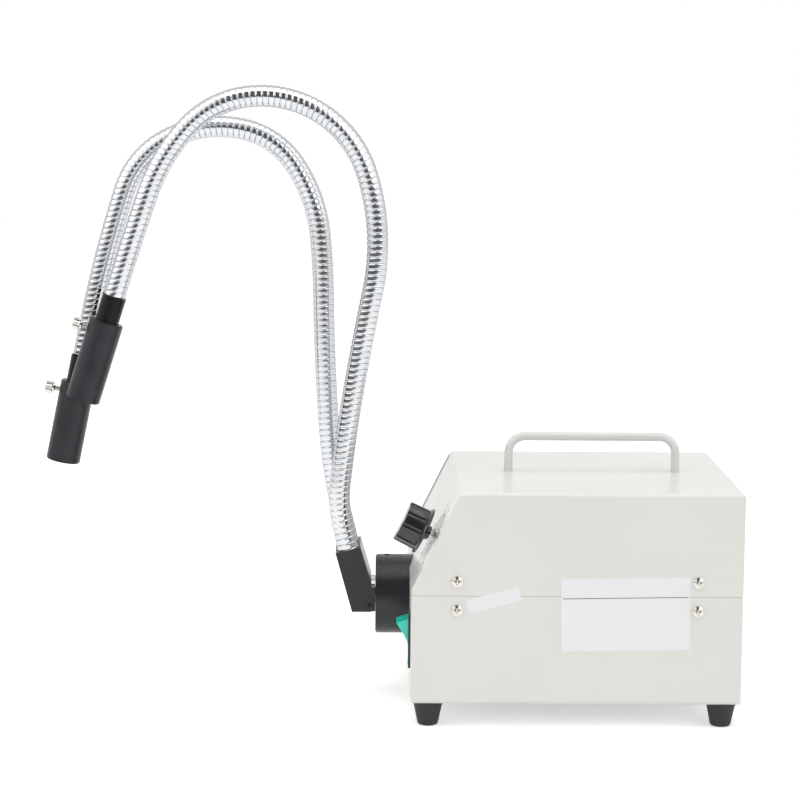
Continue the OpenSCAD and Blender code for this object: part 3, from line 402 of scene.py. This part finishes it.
def advance(at, s, bend):
    """(y, z, lean) at the distance s on from (y, z, lean), at bend degrees per mm."""
    y, z, lean = at
    end = lean + s * bend
    a, b = math.radians(lean), math.radians(end)
    if bend == 0:
        return y - s * math.sin(a), z + s * math.cos(a), lean
    r = 180 / math.pi / bend
    return y + r * (math.cos(b) - math.cos(a)), z + r * (math.sin(b) - math.sin(a)), end


def route_at(arm, s):
    """(y, z, lean) at the distance s along an arm's route, or past its end."""
    at = (*EXIT, LEAN)
    for length, turn in ROUTES[arm][:-1]:
        if s <= length:
            return advance(at, s, turn / length)
        at = advance(at, length, turn / length)
        s -= length
    length, turn = ROUTES[arm][-1]
    return advance(at, s, turn / length)


def along(arm, s):
    """The frame at the distance s: local z runs on along the hose, and x is the scene's X."""
    y, z, lean = route_at(arm, s)
    return Matrix.Translation(bench(SIDE[arm] * ARM_X, y, z)) @ rotation("X", lean)


def turns(s):
    """The number of whole turns of the strip up to the distance s."""
    return int(round((s - HOSE_START) / RIB_PITCH))


def hose(name, arm, first, last):
    """The wound hose from one turn to another, as one helix of ribs."""
    samples = [(i + share, depth) for i in range(first, last) for share, depth in RIB]
    samples.append((last, RIB[0][1]))
    verts, faces, row = [], [], AROUND + 1
    for turn, depth in samples:
        for k in range(row):
            share = k / AROUND
            s = HOSE_START + (turn + share) * RIB_PITCH
            verts.append(along(arm, s) @ polar(HOSE_D / 2 - depth, 2 * math.pi * share, 0))
    for j in range(len(samples) - 1):
        p, q = j * row, (j + 1) * row
        faces += [(p + k, p + k + 1, q + k + 1, q + k) for k in range(AROUND)]
    obj = add(name, verts, faces, CHROME, None, "hose_steel", sharp=70)
    bm = bmesh.new()
    bm.from_mesh(obj.data)
    bmesh.ops.remove_doubles(bm, verts=bm.verts, dist=WELD * MM)
    bm.to_mesh(obj.data)
    bm.free()
    return obj


def gooseneck(arm):
    """Two pieces of hose that meet where the crown's bend begins."""
    cut = turns(CROWN[arm] - CROWN_HALF)
    last = turns(route_len(arm) + HOSE_TAIL) - SPARE_TURNS
    low = hose(arm + "_gooseneck_lower", arm, 0, cut)
    high = hose(arm + "_gooseneck_upper", arm, cut, last)
    at = {s: along(arm, s).translation
          for s in (0, BASE_END, CROWN[arm] - CROWN_HALF, CROWN[arm] + CROWN_HALF)}
    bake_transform(low)
    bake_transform(high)
    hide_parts(arm + "_hose_base", arm + "_hose_mid")
    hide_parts(arm + "_hose_crown", arm + "_hose_end")


gooseneck("near")
gooseneck("far")

# ---- light heads: thumb screws --------------------------------------------------------------------
KNURLS, KNURL_STEPS, KNURL_DEPTH = 18, 6, 0.42
# The head as (radius from its edge, height), the rest as (radius, height). The neck's heights are
# from the head, and the thread's are from the start of each turn.
HEAD_ROWS = [(-0.75, 0.0), (-0.12, 0.35), (0, 0.8), (0, 4.7), (-0.12, 5.15), (-0.75, 5.5)]
HEAD_RECESS = [(2.6, 5.5), (2.3, 4.9)]
NECK = [(1.9, -1.4), (3.3, -1.3), (3.5, -1.1), (3.5, 0.1)]
THREAD_TURN = [(1.72, 0.05), (2.0, 0.35), (1.72, 0.65)]
THREAD_PITCH, THREAD_CORE = 0.7, 1.7
THREAD_IN = 2.5         # how far the shank goes into the sleeve's wall


def thumb_head(place, reach):
    """The knurled head, from the height reach on."""
    n = KNURLS * KNURL_STEPS
    turn = 2 * math.pi / n
    verts = []
    for inset, z in HEAD_ROWS:
        for k in range(n):
            groove = KNURL_DEPTH * 0.5 * (1 - math.cos(KNURLS * turn * k))
            verts.append(place @ polar(THUMB_D / 2 - groove + inset, turn * k, reach + z))
    end = (len(HEAD_ROWS) - 1) * n
    for r, z in HEAD_RECESS:
        verts += [place @ polar(r, turn * k, reach + z) for k in range(n)]
    faces = ring_faces(len(HEAD_ROWS), n) + [tuple(range(n))[::-1]]
    faces += ring_faces(len(HEAD_RECESS) + 1, n, end)
    faces.append(tuple(range(len(verts) - n, len(verts))))
    return verts, faces


def thumb_thread(place, reach):
    """The threaded shank, from inside the sleeve's wall to the head."""
    z = SLEEVE_D / 2 - THREAD_IN
    profile = [(0, z), (THREAD_CORE, z)]
    while z < reach + NECK[0][1]:
        profile += [(r, z + h) for r, h in THREAD_TURN]
        z += THREAD_PITCH
    profile += [(r, reach + h) for r, h in NECK]
    return lathe(profile, place, n=40)


def thumb_screw(arm):
    place = along(arm, route_len(arm) + FERRULE_SHOW + THUMB_DROP) @ rotation("X", -90)
    reach = SLEEVE_D / 2 + THUMB_GAP
    mesh = joined(thumb_head(place, reach), thumb_thread(place, reach))
    obj = add(arm + "_thumb_screw_head", *mesh, THUMB, arm + "_thumb", "satin_aluminium", sharp=40)
    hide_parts(arm + "_thumb_screw")


thumb_screw("near")
thumb_screw("far")

# ---- dimmer knob ----------------------------------------------------------------------------------
FLUTES, FLUTE_STEPS, FLUTE_SHARE, FLUTE_DEPTH = 10, 20, 0.24, 1.5
# The knob's outside, as (radius from an edge, height, share of the flutes' depth). The flange is
# given from the skirt's edge and the base, the cone from the body's edge and the base, and the rim
# from the body's edge and the top.
FLANGE = [(-1.2, 0, 0), (-0.3, 0.05, 0), (0, 0.35, 0), (0, 1.5, 0), (-0.25, 1.75, 0)]
CONE = [(0.5, 2.6, 0.1), (0.05, 2.9, 0.6), (0, 3.3, 1)]
RIM = [(-0.35, -1.0, 1), (-0.6, -0.35, 0.95), (-1.1, 0, 0.75), (-2.1, 0, 0), (-2.4, -0.3, 0),
       (-2.4, -1.1, 0)]
HUB_Z, HUB_D, HUB_BEVEL, HUB_INTO = 3.7, 10.5, 0.4, 0.2
CAP_IN = 2.5            # how far the cap's edge lies inside the body's
CAP_DOME = [(0, 0.62), (4, 0.58), (7.8, 0.47)]      # (radius, height over the top)
CAP_EDGE = [(-1.3, 0.3), (-1.1, 0.05), (-0.7, 0.16), (-0.15, -0.05), (0, -0.9)]     # from its edge
POINTER_AT = 216.0      # where the knob points at rest, in degrees round the slope's normal from +X
POINTER_HALF = 0.5
OVER_SPAN, OVER_RISE = (-2.0, -0.5), (-0.02, 0.08)  # the line's part on the face
DOWN_SPAN, DOWN_RISE = (-0.7, 0.08), (2.0, -1.0)    # its part on the side, from base and top


def flute_depth(k):
    """The depth of the flutes at a step round the knob, 0 on the lobes."""
    phase = (k % FLUTE_STEPS) / FLUTE_STEPS
    near = min(phase, 1 - phase) / FLUTE_SHARE
    return FLUTE_DEPTH * math.sqrt(1 - near * near) if near < 1 else 0.0


def knob_body(place, base, top):
    """Ten broad lobes on a flange with a coned front, and the hub under it."""
    n = FLUTES * FLUTE_STEPS
    parts = ((FLANGE, SKIRT_D / 2, base), (CONE, KNOB_D / 2, base), (RIM, KNOB_D / 2, top))
    rows = [(edge + r, foot + z, share) for part, edge, foot in parts for r, z, share in part]
    verts = [place @ polar(r - share * flute_depth(k), 2 * math.pi * k / n, z)
             for r, z, share in rows for k in range(n)]
    faces = ring_faces(len(rows), n)
    faces.append(tuple(range(n))[::-1])
    faces.append(tuple(range(len(verts) - n, len(verts))))
    r, end = HUB_D / 2, base + HUB_INTO
    hub = lathe([(0, HUB_Z), (r - HUB_BEVEL, HUB_Z), (r, HUB_Z + HUB_BEVEL), (r, end), (0, end)],
                place, n=48)
    obj = add("knob_fluted_body", *joined((verts, faces), hub), KNOB, "dimmer", "black_plastic",
              sharp=40)
    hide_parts("dimmer_knob")


def knob_cap(place, top):
    """The spun silver disc let into the knob's face."""
    edge = KNOB_D / 2 - CAP_IN
    profile = [(r, top + z) for r, z in CAP_DOME] + [(edge + r, top + z) for r, z in CAP_EDGE]
    disc = add("knob_cap_disc", *lathe(profile, place, n=120), CAP, "dimmer", "satin_aluminium",
               sharp=50)
    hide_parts("knob_cap")


def knob_pointer(place, base, top):
    """A white line over the face's rim and down the side."""
    def line(span, low, high):
        x0, x1 = (KNOB_D / 2 + x for x in span)
        return prism(rectangle(x0, -POINTER_HALF, x1, POINTER_HALF), place, low, high)

    over = line(OVER_SPAN, top + OVER_RISE[0], top + OVER_RISE[1])
    down = line(DOWN_SPAN, base + DOWN_RISE[0], top + DOWN_RISE[1])
    add("knob_pointer_line", *joined(over, down), WHITE_INK, "dimmer", "black_plastic",
        smooth=False)


def dimmer_knob():
    """The knob at rest, on its shaft's axis."""
    place = on_slope(CONTROL_X, KNOB_T) @ rotation("Z", POINTER_AT)
    base, top = KNOB_LIFT, KNOB_LIFT + KNOB_H
    knob_body(place, base, top)
    knob_cap(place, top)
    knob_pointer(place, base, top)


dimmer_knob()

# ---- the printed scale round the knob -------------------------------------------------------------
DIGIT_W, DIGIT_H = 2, 4
DIGITS = {  # strokes of plain numerals on a grid of that size
    "0": [(0, 0, 2, 0), (2, 0, 2, 4), (2, 4, 0, 4), (0, 4, 0, 0)],
    "1": [(1, 0, 1, 4), (0.3, 3.3, 1, 4)],
    "2": [(0, 4, 2, 4), (2, 4, 2, 2), (2, 2, 0, 2), (0, 2, 0, 0), (0, 0, 2, 0)],
    "4": [(0, 4, 0, 2), (0, 2, 2, 2), (2, 4, 2, 0)],
    "6": [(2, 4, 0, 4), (0, 4, 0, 0), (0, 0, 2, 0), (2, 0, 2, 2), (2, 2, 0, 2)],
    "8": [(0, 0, 2, 0), (2, 0, 2, 4), (2, 4, 0, 4), (0, 4, 0, 0), (0, 2, 2, 2)]}
PRINT_FROM, PRINT_TO = 0.01, 0.06       # printed marks stand just proud of a face
DIAL_SWEEP, DIAL_FIRST, DIAL_MARKS = 270.0, 225.0, 11
TICK_IN, TICK_LONG, TICK_SHORT = 19.2, 22.6, 21.2
TICK_BOLD, TICK_FINE = 0.7, 0.45
DIGIT_R, DIGIT_GRID, DIGIT_GAP, DIGIT_PEN = 26.2, 0.62, 1.0, 0.5
WEDGE_R, WEDGE_FROM, WEDGE_GROWTH, WEDGE_STEPS = 17.6, 0.3, 1.5, 60


def stroke(x0, y0, x1, y1, width):
    """A straight line as a thin rectangle with square ends."""
    along_it = Vector((x1 - x0, y1 - y0)).normalized()
    n = Vector((-along_it.y, along_it.x)) * width / 2
    e = along_it * width / 2
    return [(x0 - e.x + n.x, y0 - e.y + n.y), (x0 - e.x - n.x, y0 - e.y - n.y),
            (x1 + e.x - n.x, y1 + e.y - n.y), (x1 + e.x + n.x, y1 + e.y + n.y)]


def print_flat(name, outlines, place, mat):
    """Printed marks on the housing, as thin solids."""
    parts = [prism(outline, place, PRINT_FROM, PRINT_TO) for outline in outlines]
    add(name, *joined(*parts), mat, "housing", "housing_paint", smooth=False)


def number(text, angle):
    """The strokes of a number centred on the dial's ring of digits."""
    step_on = DIGIT_W + DIGIT_GAP
    width = (len(text) * step_on - DIGIT_GAP) * DIGIT_GRID
    left = DIGIT_R * math.cos(angle) - width / 2
    foot = DIGIT_R * math.sin(angle) - DIGIT_H / 2 * DIGIT_GRID
    strokes = []
    for i, digit in enumerate(text):
        x = left + i * step_on * DIGIT_GRID
        strokes += [stroke(x + x0 * DIGIT_GRID, foot + y0 * DIGIT_GRID,
                           x + x1 * DIGIT_GRID, foot + y1 * DIGIT_GRID, DIGIT_PEN)
                    for x0, y0, x1, y1 in DIGITS[digit]]
    return strokes


def dial_scale():
    """Ticks, numbers from 0 to 10, and a wedge that widens from low to high."""
    marks = []
    for i in range(DIAL_MARKS):
        a = math.radians(DIAL_FIRST - DIAL_SWEEP * i / (DIAL_MARKS - 1))
        major = i % 2 == 0
        reach, pen = (TICK_LONG, TICK_BOLD) if major else (TICK_SHORT, TICK_FINE)
        marks.append(stroke(TICK_IN * math.cos(a), TICK_IN * math.sin(a),
                            reach * math.cos(a), reach * math.sin(a), pen))
        if major:
            marks += number(str(i), a)
    for i in range(WEDGE_STEPS):
        a, b = (math.radians(DIAL_FIRST - DIAL_SWEEP * k / WEDGE_STEPS) for k in (i, i + 1))
        inner = WEDGE_R - (WEDGE_FROM + WEDGE_GROWTH * i / WEDGE_STEPS)
        marks.append([(r * math.cos(t), r * math.sin(t))
                      for r, t in ((inner, a), (WEDGE_R, a), (WEDGE_R, b), (inner, b))])
    print_flat("dial_scale", marks, on_slope(CONTROL_X, KNOB_T), INK_BLACK)


dial_scale()

# ---- the fold along the slope's far edge, a lip in painted shade ----------------------------------
FOLD_AT = 0.9           # from the box's far side
FOLD = [(0.0, -0.2), (0.0, 0.55), (0.25, 0.8), (0.8, 0.9), (1.3, 0.75), (1.5, 0.4), (1.5, -0.2)]
FOLD_ENDS = [(2.0, 0.0), (5.0, 0.9), (8.0, 1.0)]    # (distance from an end, share of the height)


def slope_fold():
    """The side sheet's edge stands a little proud along the slope's far side, in painted shade."""
    rows = FOLD_ENDS + [(SLOPE_LEN - t, rise) for t, rise in reversed(FOLD_ENDS)]
    verts, n = [], len(FOLD)
    for t, rise in rows:
        place = on_slope(FOLD_AT - BOX_W / 2, t)
        verts += [place @ Vector((x * MM, 0, (z if z < 0 else z * rise) * MM)) for x, z in FOLD]
    faces = ring_faces(len(rows), n)
    faces += [tuple(range(n))[::-1], tuple(range(len(verts) - n, len(verts)))]
    add("slope_lip_painted_shade", verts, faces, PAINTED_SHADE_LIP, "housing", "housing_paint", sharp=50)


slope_fold()

# ---- the marks on the rocker ----------------------------------------------------------------------
ROCKER_HALF, ROCKER_FRONT, ROCKER_CURVE = 16.0, -9.47, 1.25
MARK_AT, MARK_SUNK, MARK_PROUD = 9.0, -0.3, 0.12
BAR_W, BAR_H, RING_IN, RING_OUT = 0.9, 4.6, 1.5, 2.3


def rocker_face(z):
    """The frame on the rocker's curved front at the height z over its pivot."""
    pivot = Matrix.Translation(bench(CONTROL_X, PIVOT_Y, SWITCH_Z)) @ rotation("X", ROCKER_TILT)
    vee = ROCKER_HALF * math.tan(math.radians(ROCKER_TILT))
    out = abs(z) / ROCKER_HALF
    y = ROCKER_FRONT + vee * (1 - out ** ROCKER_CURVE)
    slope = ROCKER_CURVE * vee / ROCKER_HALF * out ** (ROCKER_CURVE - 1)
    lean = math.copysign(math.degrees(math.atan(slope)), z)
    return pivot @ Matrix.Translation((0, y * MM, z * MM)) @ rotation("X", 90 + lean)


def rocker_marks():
    """A bar for on and a ring for off, moulded a little proud of the rocker's two halves."""
    bar = prism(rectangle(-BAR_W / 2, -BAR_H / 2, BAR_W / 2, BAR_H / 2), rocker_face(MARK_AT),
                MARK_SUNK, MARK_PROUD)
    ring = lathe([(RING_IN, MARK_SUNK), (RING_IN, MARK_PROUD), (RING_OUT, MARK_PROUD),
                  (RING_OUT, MARK_SUNK), (RING_IN, MARK_SUNK)], rocker_face(-MARK_AT), n=40)
    add("rocker_marks", *joined(bar, ring), WHITE_INK, "rocker", "teal_plastic", smooth=False)


rocker_marks()

# ---- bare labels on the near side -----------------------------------------------------------------
LABEL_CORNER, INNER_CORNER, LABEL_BEVEL = 1.2, 1.0, 0.25
LABEL_HEIGHTS = (0.02, 0.10, 0.16)          # of its underside, its edge and its face
RULE_LIFT, RULE_PEN = 0.15, 0.5
RULE_HALF, RULE_UP = 45.0, 12.2


def label(name, y, z, w, h, tilt):
    """A film with round corners and a thin bevel. Returns its frame."""
    place = near_side(y, z, tilt)
    outline = rounded_rect(w, h, LABEL_CORNER)
    inner = rounded_rect(w - 2 * LABEL_BEVEL, h - 2 * LABEL_BEVEL, INNER_CORNER)
    n = len(outline)
    verts = [place @ Vector((a * MM, b * MM, height * MM))
             for loop, height in zip((outline, outline, inner), LABEL_HEIGHTS) for a, b in loop]
    faces = [tuple(range(2 * n, 3 * n))] + ring_faces(3, n) + [tuple(range(n))[::-1]]
    add(name, verts, faces, LABEL, "housing", "housing_paint", smooth=False)
    return place


main_label = label("side_label", y=154.8, z=66.95, w=93.0, h=53.6, tilt=1.0)
print_flat("side_label_rules", [stroke(-RULE_HALF, RULE_UP, RULE_HALF, RULE_UP, RULE_PEN)],
           main_label @ Matrix.Translation((0, 0, RULE_LIFT * MM)), INK)
label("side_sticker", y=59.4, z=77.0, w=39.6, h=10.9, tilt=15.4)

# ---- floor and background -------------------------------------------------------------------------
# Distances from here on are in metres. Directions have length 1, with z upward.
FLOOR_FAR, FLOOR_NEAR = 6.0, 2.5            # the floor ends sooner on the camera's side
FLOOR_COLOR, FLOOR_GLOW = 0.9, 0.46
WORLD_LIGHT, WORLD_FAR = 0.78, 0.32         # soft light from the camera's side and the far side
FADE_X = (-0.7, 0.0)                        # where the one passes into the other
GAP_DARK, BOX_BRIGHT = 0.12, 1.5            # how gloss sees the studio's dark and its soft boxes
# Where each part of the studio fades in or out: the dark band at the camera's height, the dark way
# over it between the soft boxes, and the boxes themselves.
BAND_TO, BAND_WIDE, BAND_TOP = (0.91, -0.41, 0.0), (0.18, 0.34), (0.17, 0.05)
OVER_Y, OVER_X = (0.38, 0.24), (-0.5, -0.3)
BOX_Y, BOX_Z, BOX_X = (0.35, 0.5), (0.08, 0.2), (-0.3, -0.1)


def any_ray(t, *kinds):
    """1 for a ray of any of the kinds, and 0 otherwise."""
    path = t.nodes.new("ShaderNodeLightPath")
    value = 0.0
    for kind in kinds:
        value = math_node(t, "MAXIMUM", path.outputs[kind], value)
    return value


def math_node(t, operation, a, b=0.0):
    """A Math node of two numbers or sockets."""
    node = t.nodes.new("ShaderNodeMath")
    node.operation = operation
    for value, socket in zip((a, b), node.inputs):
        if isinstance(value, float):
            socket.default_value = value
        else:
            t.links.new(value, socket)
    return node.outputs[0]


def step(t, source, low, high):
    """0 below low and 1 above high, or the other way round where low is the greater."""
    node = t.nodes.new("ShaderNodeMapRange")
    node.interpolation_type = "SMOOTHSTEP"
    node.inputs["From Min"].default_value = min(low, high)
    node.inputs["From Max"].default_value = max(low, high)
    node.inputs["To Min"].default_value = 0 if low < high else 1
    node.inputs["To Max"].default_value = 1 if low < high else 0
    t.links.new(source, node.inputs["Value"])
    return node.outputs["Result"]


def spread(t, source, low, high, fade=(0.0, 1.0)):
    """The source's range fade laid out evenly from low to high."""
    node = t.nodes.new("ShaderNodeMapRange")
    node.inputs["From Min"].default_value, node.inputs["From Max"].default_value = fade
    node.inputs["To Min"].default_value, node.inputs["To Max"].default_value = low, high
    t.links.new(source, node.inputs["Value"])
    return node.outputs["Result"]


def background(t, strength):
    """A white Background node. The strength is a number or a socket."""
    node = t.nodes.new("ShaderNodeBackground")
    node.inputs["Color"].default_value = (1, 1, 1, 1)
    if isinstance(strength, float):
        node.inputs["Strength"].default_value = strength
    else:
        t.links.new(strength, node.inputs["Strength"])
    return node.outputs[0]


def choose(t, share, a, b):
    """The shader a where the share is 0, and b where it is 1."""
    mix = t.nodes.new("ShaderNodeMixShader")
    for source, socket in zip((share, a, b), mix.inputs):
        t.links.new(source, socket)
    return mix.outputs[0]


def floor_material():
    """A pale floor that shows pure white to the camera except for the object's soft shadow."""
    mat = bpy.data.materials.new("floor_white")
    mat.use_nodes = True
    t = mat.node_tree
    t.nodes.clear()
    diffuse = t.nodes.new("ShaderNodeBsdfDiffuse")
    diffuse.inputs["Color"].default_value = (FLOOR_COLOR, FLOOR_COLOR, FLOOR_COLOR, 1)
    glow = t.nodes.new("ShaderNodeEmission")
    glow.inputs["Strength"].default_value = FLOOR_GLOW
    both = t.nodes.new("ShaderNodeAddShader")
    t.links.new(diffuse.outputs[0], both.inputs[0])
    t.links.new(glow.outputs[0], both.inputs[1])
    seen = any_ray(t, "Is Camera Ray", "Is Transmission Ray", "Is Glossy Ray")
    out = t.nodes.new("ShaderNodeOutputMaterial")
    t.links.new(choose(t, seen, diffuse.outputs[0], both.outputs[0]), out.inputs["Surface"])
    return mat


def make_floor():
    mesh = bpy.data.meshes.new("floor")
    corners = [(-FLOOR_FAR, -FLOOR_FAR, 0), (FLOOR_NEAR, -FLOOR_FAR, 0),
               (FLOOR_NEAR, FLOOR_FAR, 0), (-FLOOR_FAR, FLOOR_FAR, 0)]
    mesh.from_pydata(corners, [], [(0, 1, 2, 3)])
    mesh.materials.append(floor_material())
    floor = bpy.data.objects.new("floor", mesh)
    scene.collection.objects.link(floor)


def dark_gap(t, ray, x, side, z):
    """How dark the studio is: a band at the camera's height, and a way over it between the boxes."""
    aim = t.nodes.new("ShaderNodeVectorMath")
    aim.operation = "DOT_PRODUCT"
    aim.inputs[1].default_value = Vector(BAND_TO).normalized()
    t.links.new(ray, aim.inputs[0])
    band = math_node(t, "MULTIPLY", step(t, aim.outputs["Value"], *BAND_WIDE),
                     step(t, z, *BAND_TOP))
    over = math_node(t, "MULTIPLY", step(t, side, *OVER_Y), step(t, x, *OVER_X))
    return math_node(t, "MAXIMUM", band, over)


def soft_boxes(t, x, side, z):
    """How far a direction looks into the soft boxes at the two sides."""
    tall = math_node(t, "MULTIPLY", step(t, z, *BOX_Z), step(t, x, *BOX_X))
    return math_node(t, "MULTIPLY", step(t, side, *BOX_Y), tall)


def make_world():
    """White to the camera. For gloss, a studio of soft boxes round a dark gap by the camera."""
    scene.world = bpy.data.worlds.new("studio")
    scene.world.use_nodes = True
    t = scene.world.node_tree
    t.nodes.clear()
    ray = t.nodes.new("ShaderNodeTexCoord").outputs["Generated"]
    split = t.nodes.new("ShaderNodeSeparateXYZ")
    t.links.new(ray, split.inputs[0])
    x, y, z = split.outputs
    side = math_node(t, "ABSOLUTE", y)
    gap = t.nodes.new("ShaderNodeMix")
    t.links.new(dark_gap(t, ray, x, side, z), gap.inputs["Factor"])
    t.links.new(spread(t, soft_boxes(t, x, side, z), 1.0, BOX_BRIGHT), gap.inputs["A"])
    gap.inputs["B"].default_value = GAP_DARK
    studio = background(t, gap.outputs[0])
    soft = background(t, spread(t, x, WORLD_FAR, WORLD_LIGHT, FADE_X))
    lit = choose(t, any_ray(t, "Is Glossy Ray"), soft, studio)
    seen = any_ray(t, "Is Camera Ray", "Is Transmission Ray")
    out = t.nodes.new("ShaderNodeOutputWorld")
    t.links.new(choose(t, seen, lit, background(t, 1.0)), out.inputs["Surface"])


make_floor()
make_world()

# ---- lamps ----------------------------------------------------------------------------------------
LAMPS = {  # place, what it looks at, side and watts
    "key_top": ((0.3, 0.0, 2.2), (0, 0, 0.1), 1.8, 18.5),
    "fill_near": ((1.6, 1.3, 1.2), (0, 0.05, 0.15), 1.2, 5),
    "front_high": ((0.3, -1.7, 1.3), (0, 0.0, 0.15), 1.4, 5.5)}


def lamp(name, at, look, side, watts):
    data = bpy.data.lights.new(name, "AREA")
    data.shape, data.size, data.size_y, data.energy = "RECTANGLE", side, side, watts
    obj = bpy.data.objects.new(name, data)
    obj.location = at
    obj.rotation_euler = (Vector(look) - Vector(at)).to_track_quat("-Z", "Y").to_euler()
    scene.collection.objects.link(obj)


for lamp_name, lamp_values in LAMPS.items():
    lamp(lamp_name, *lamp_values)
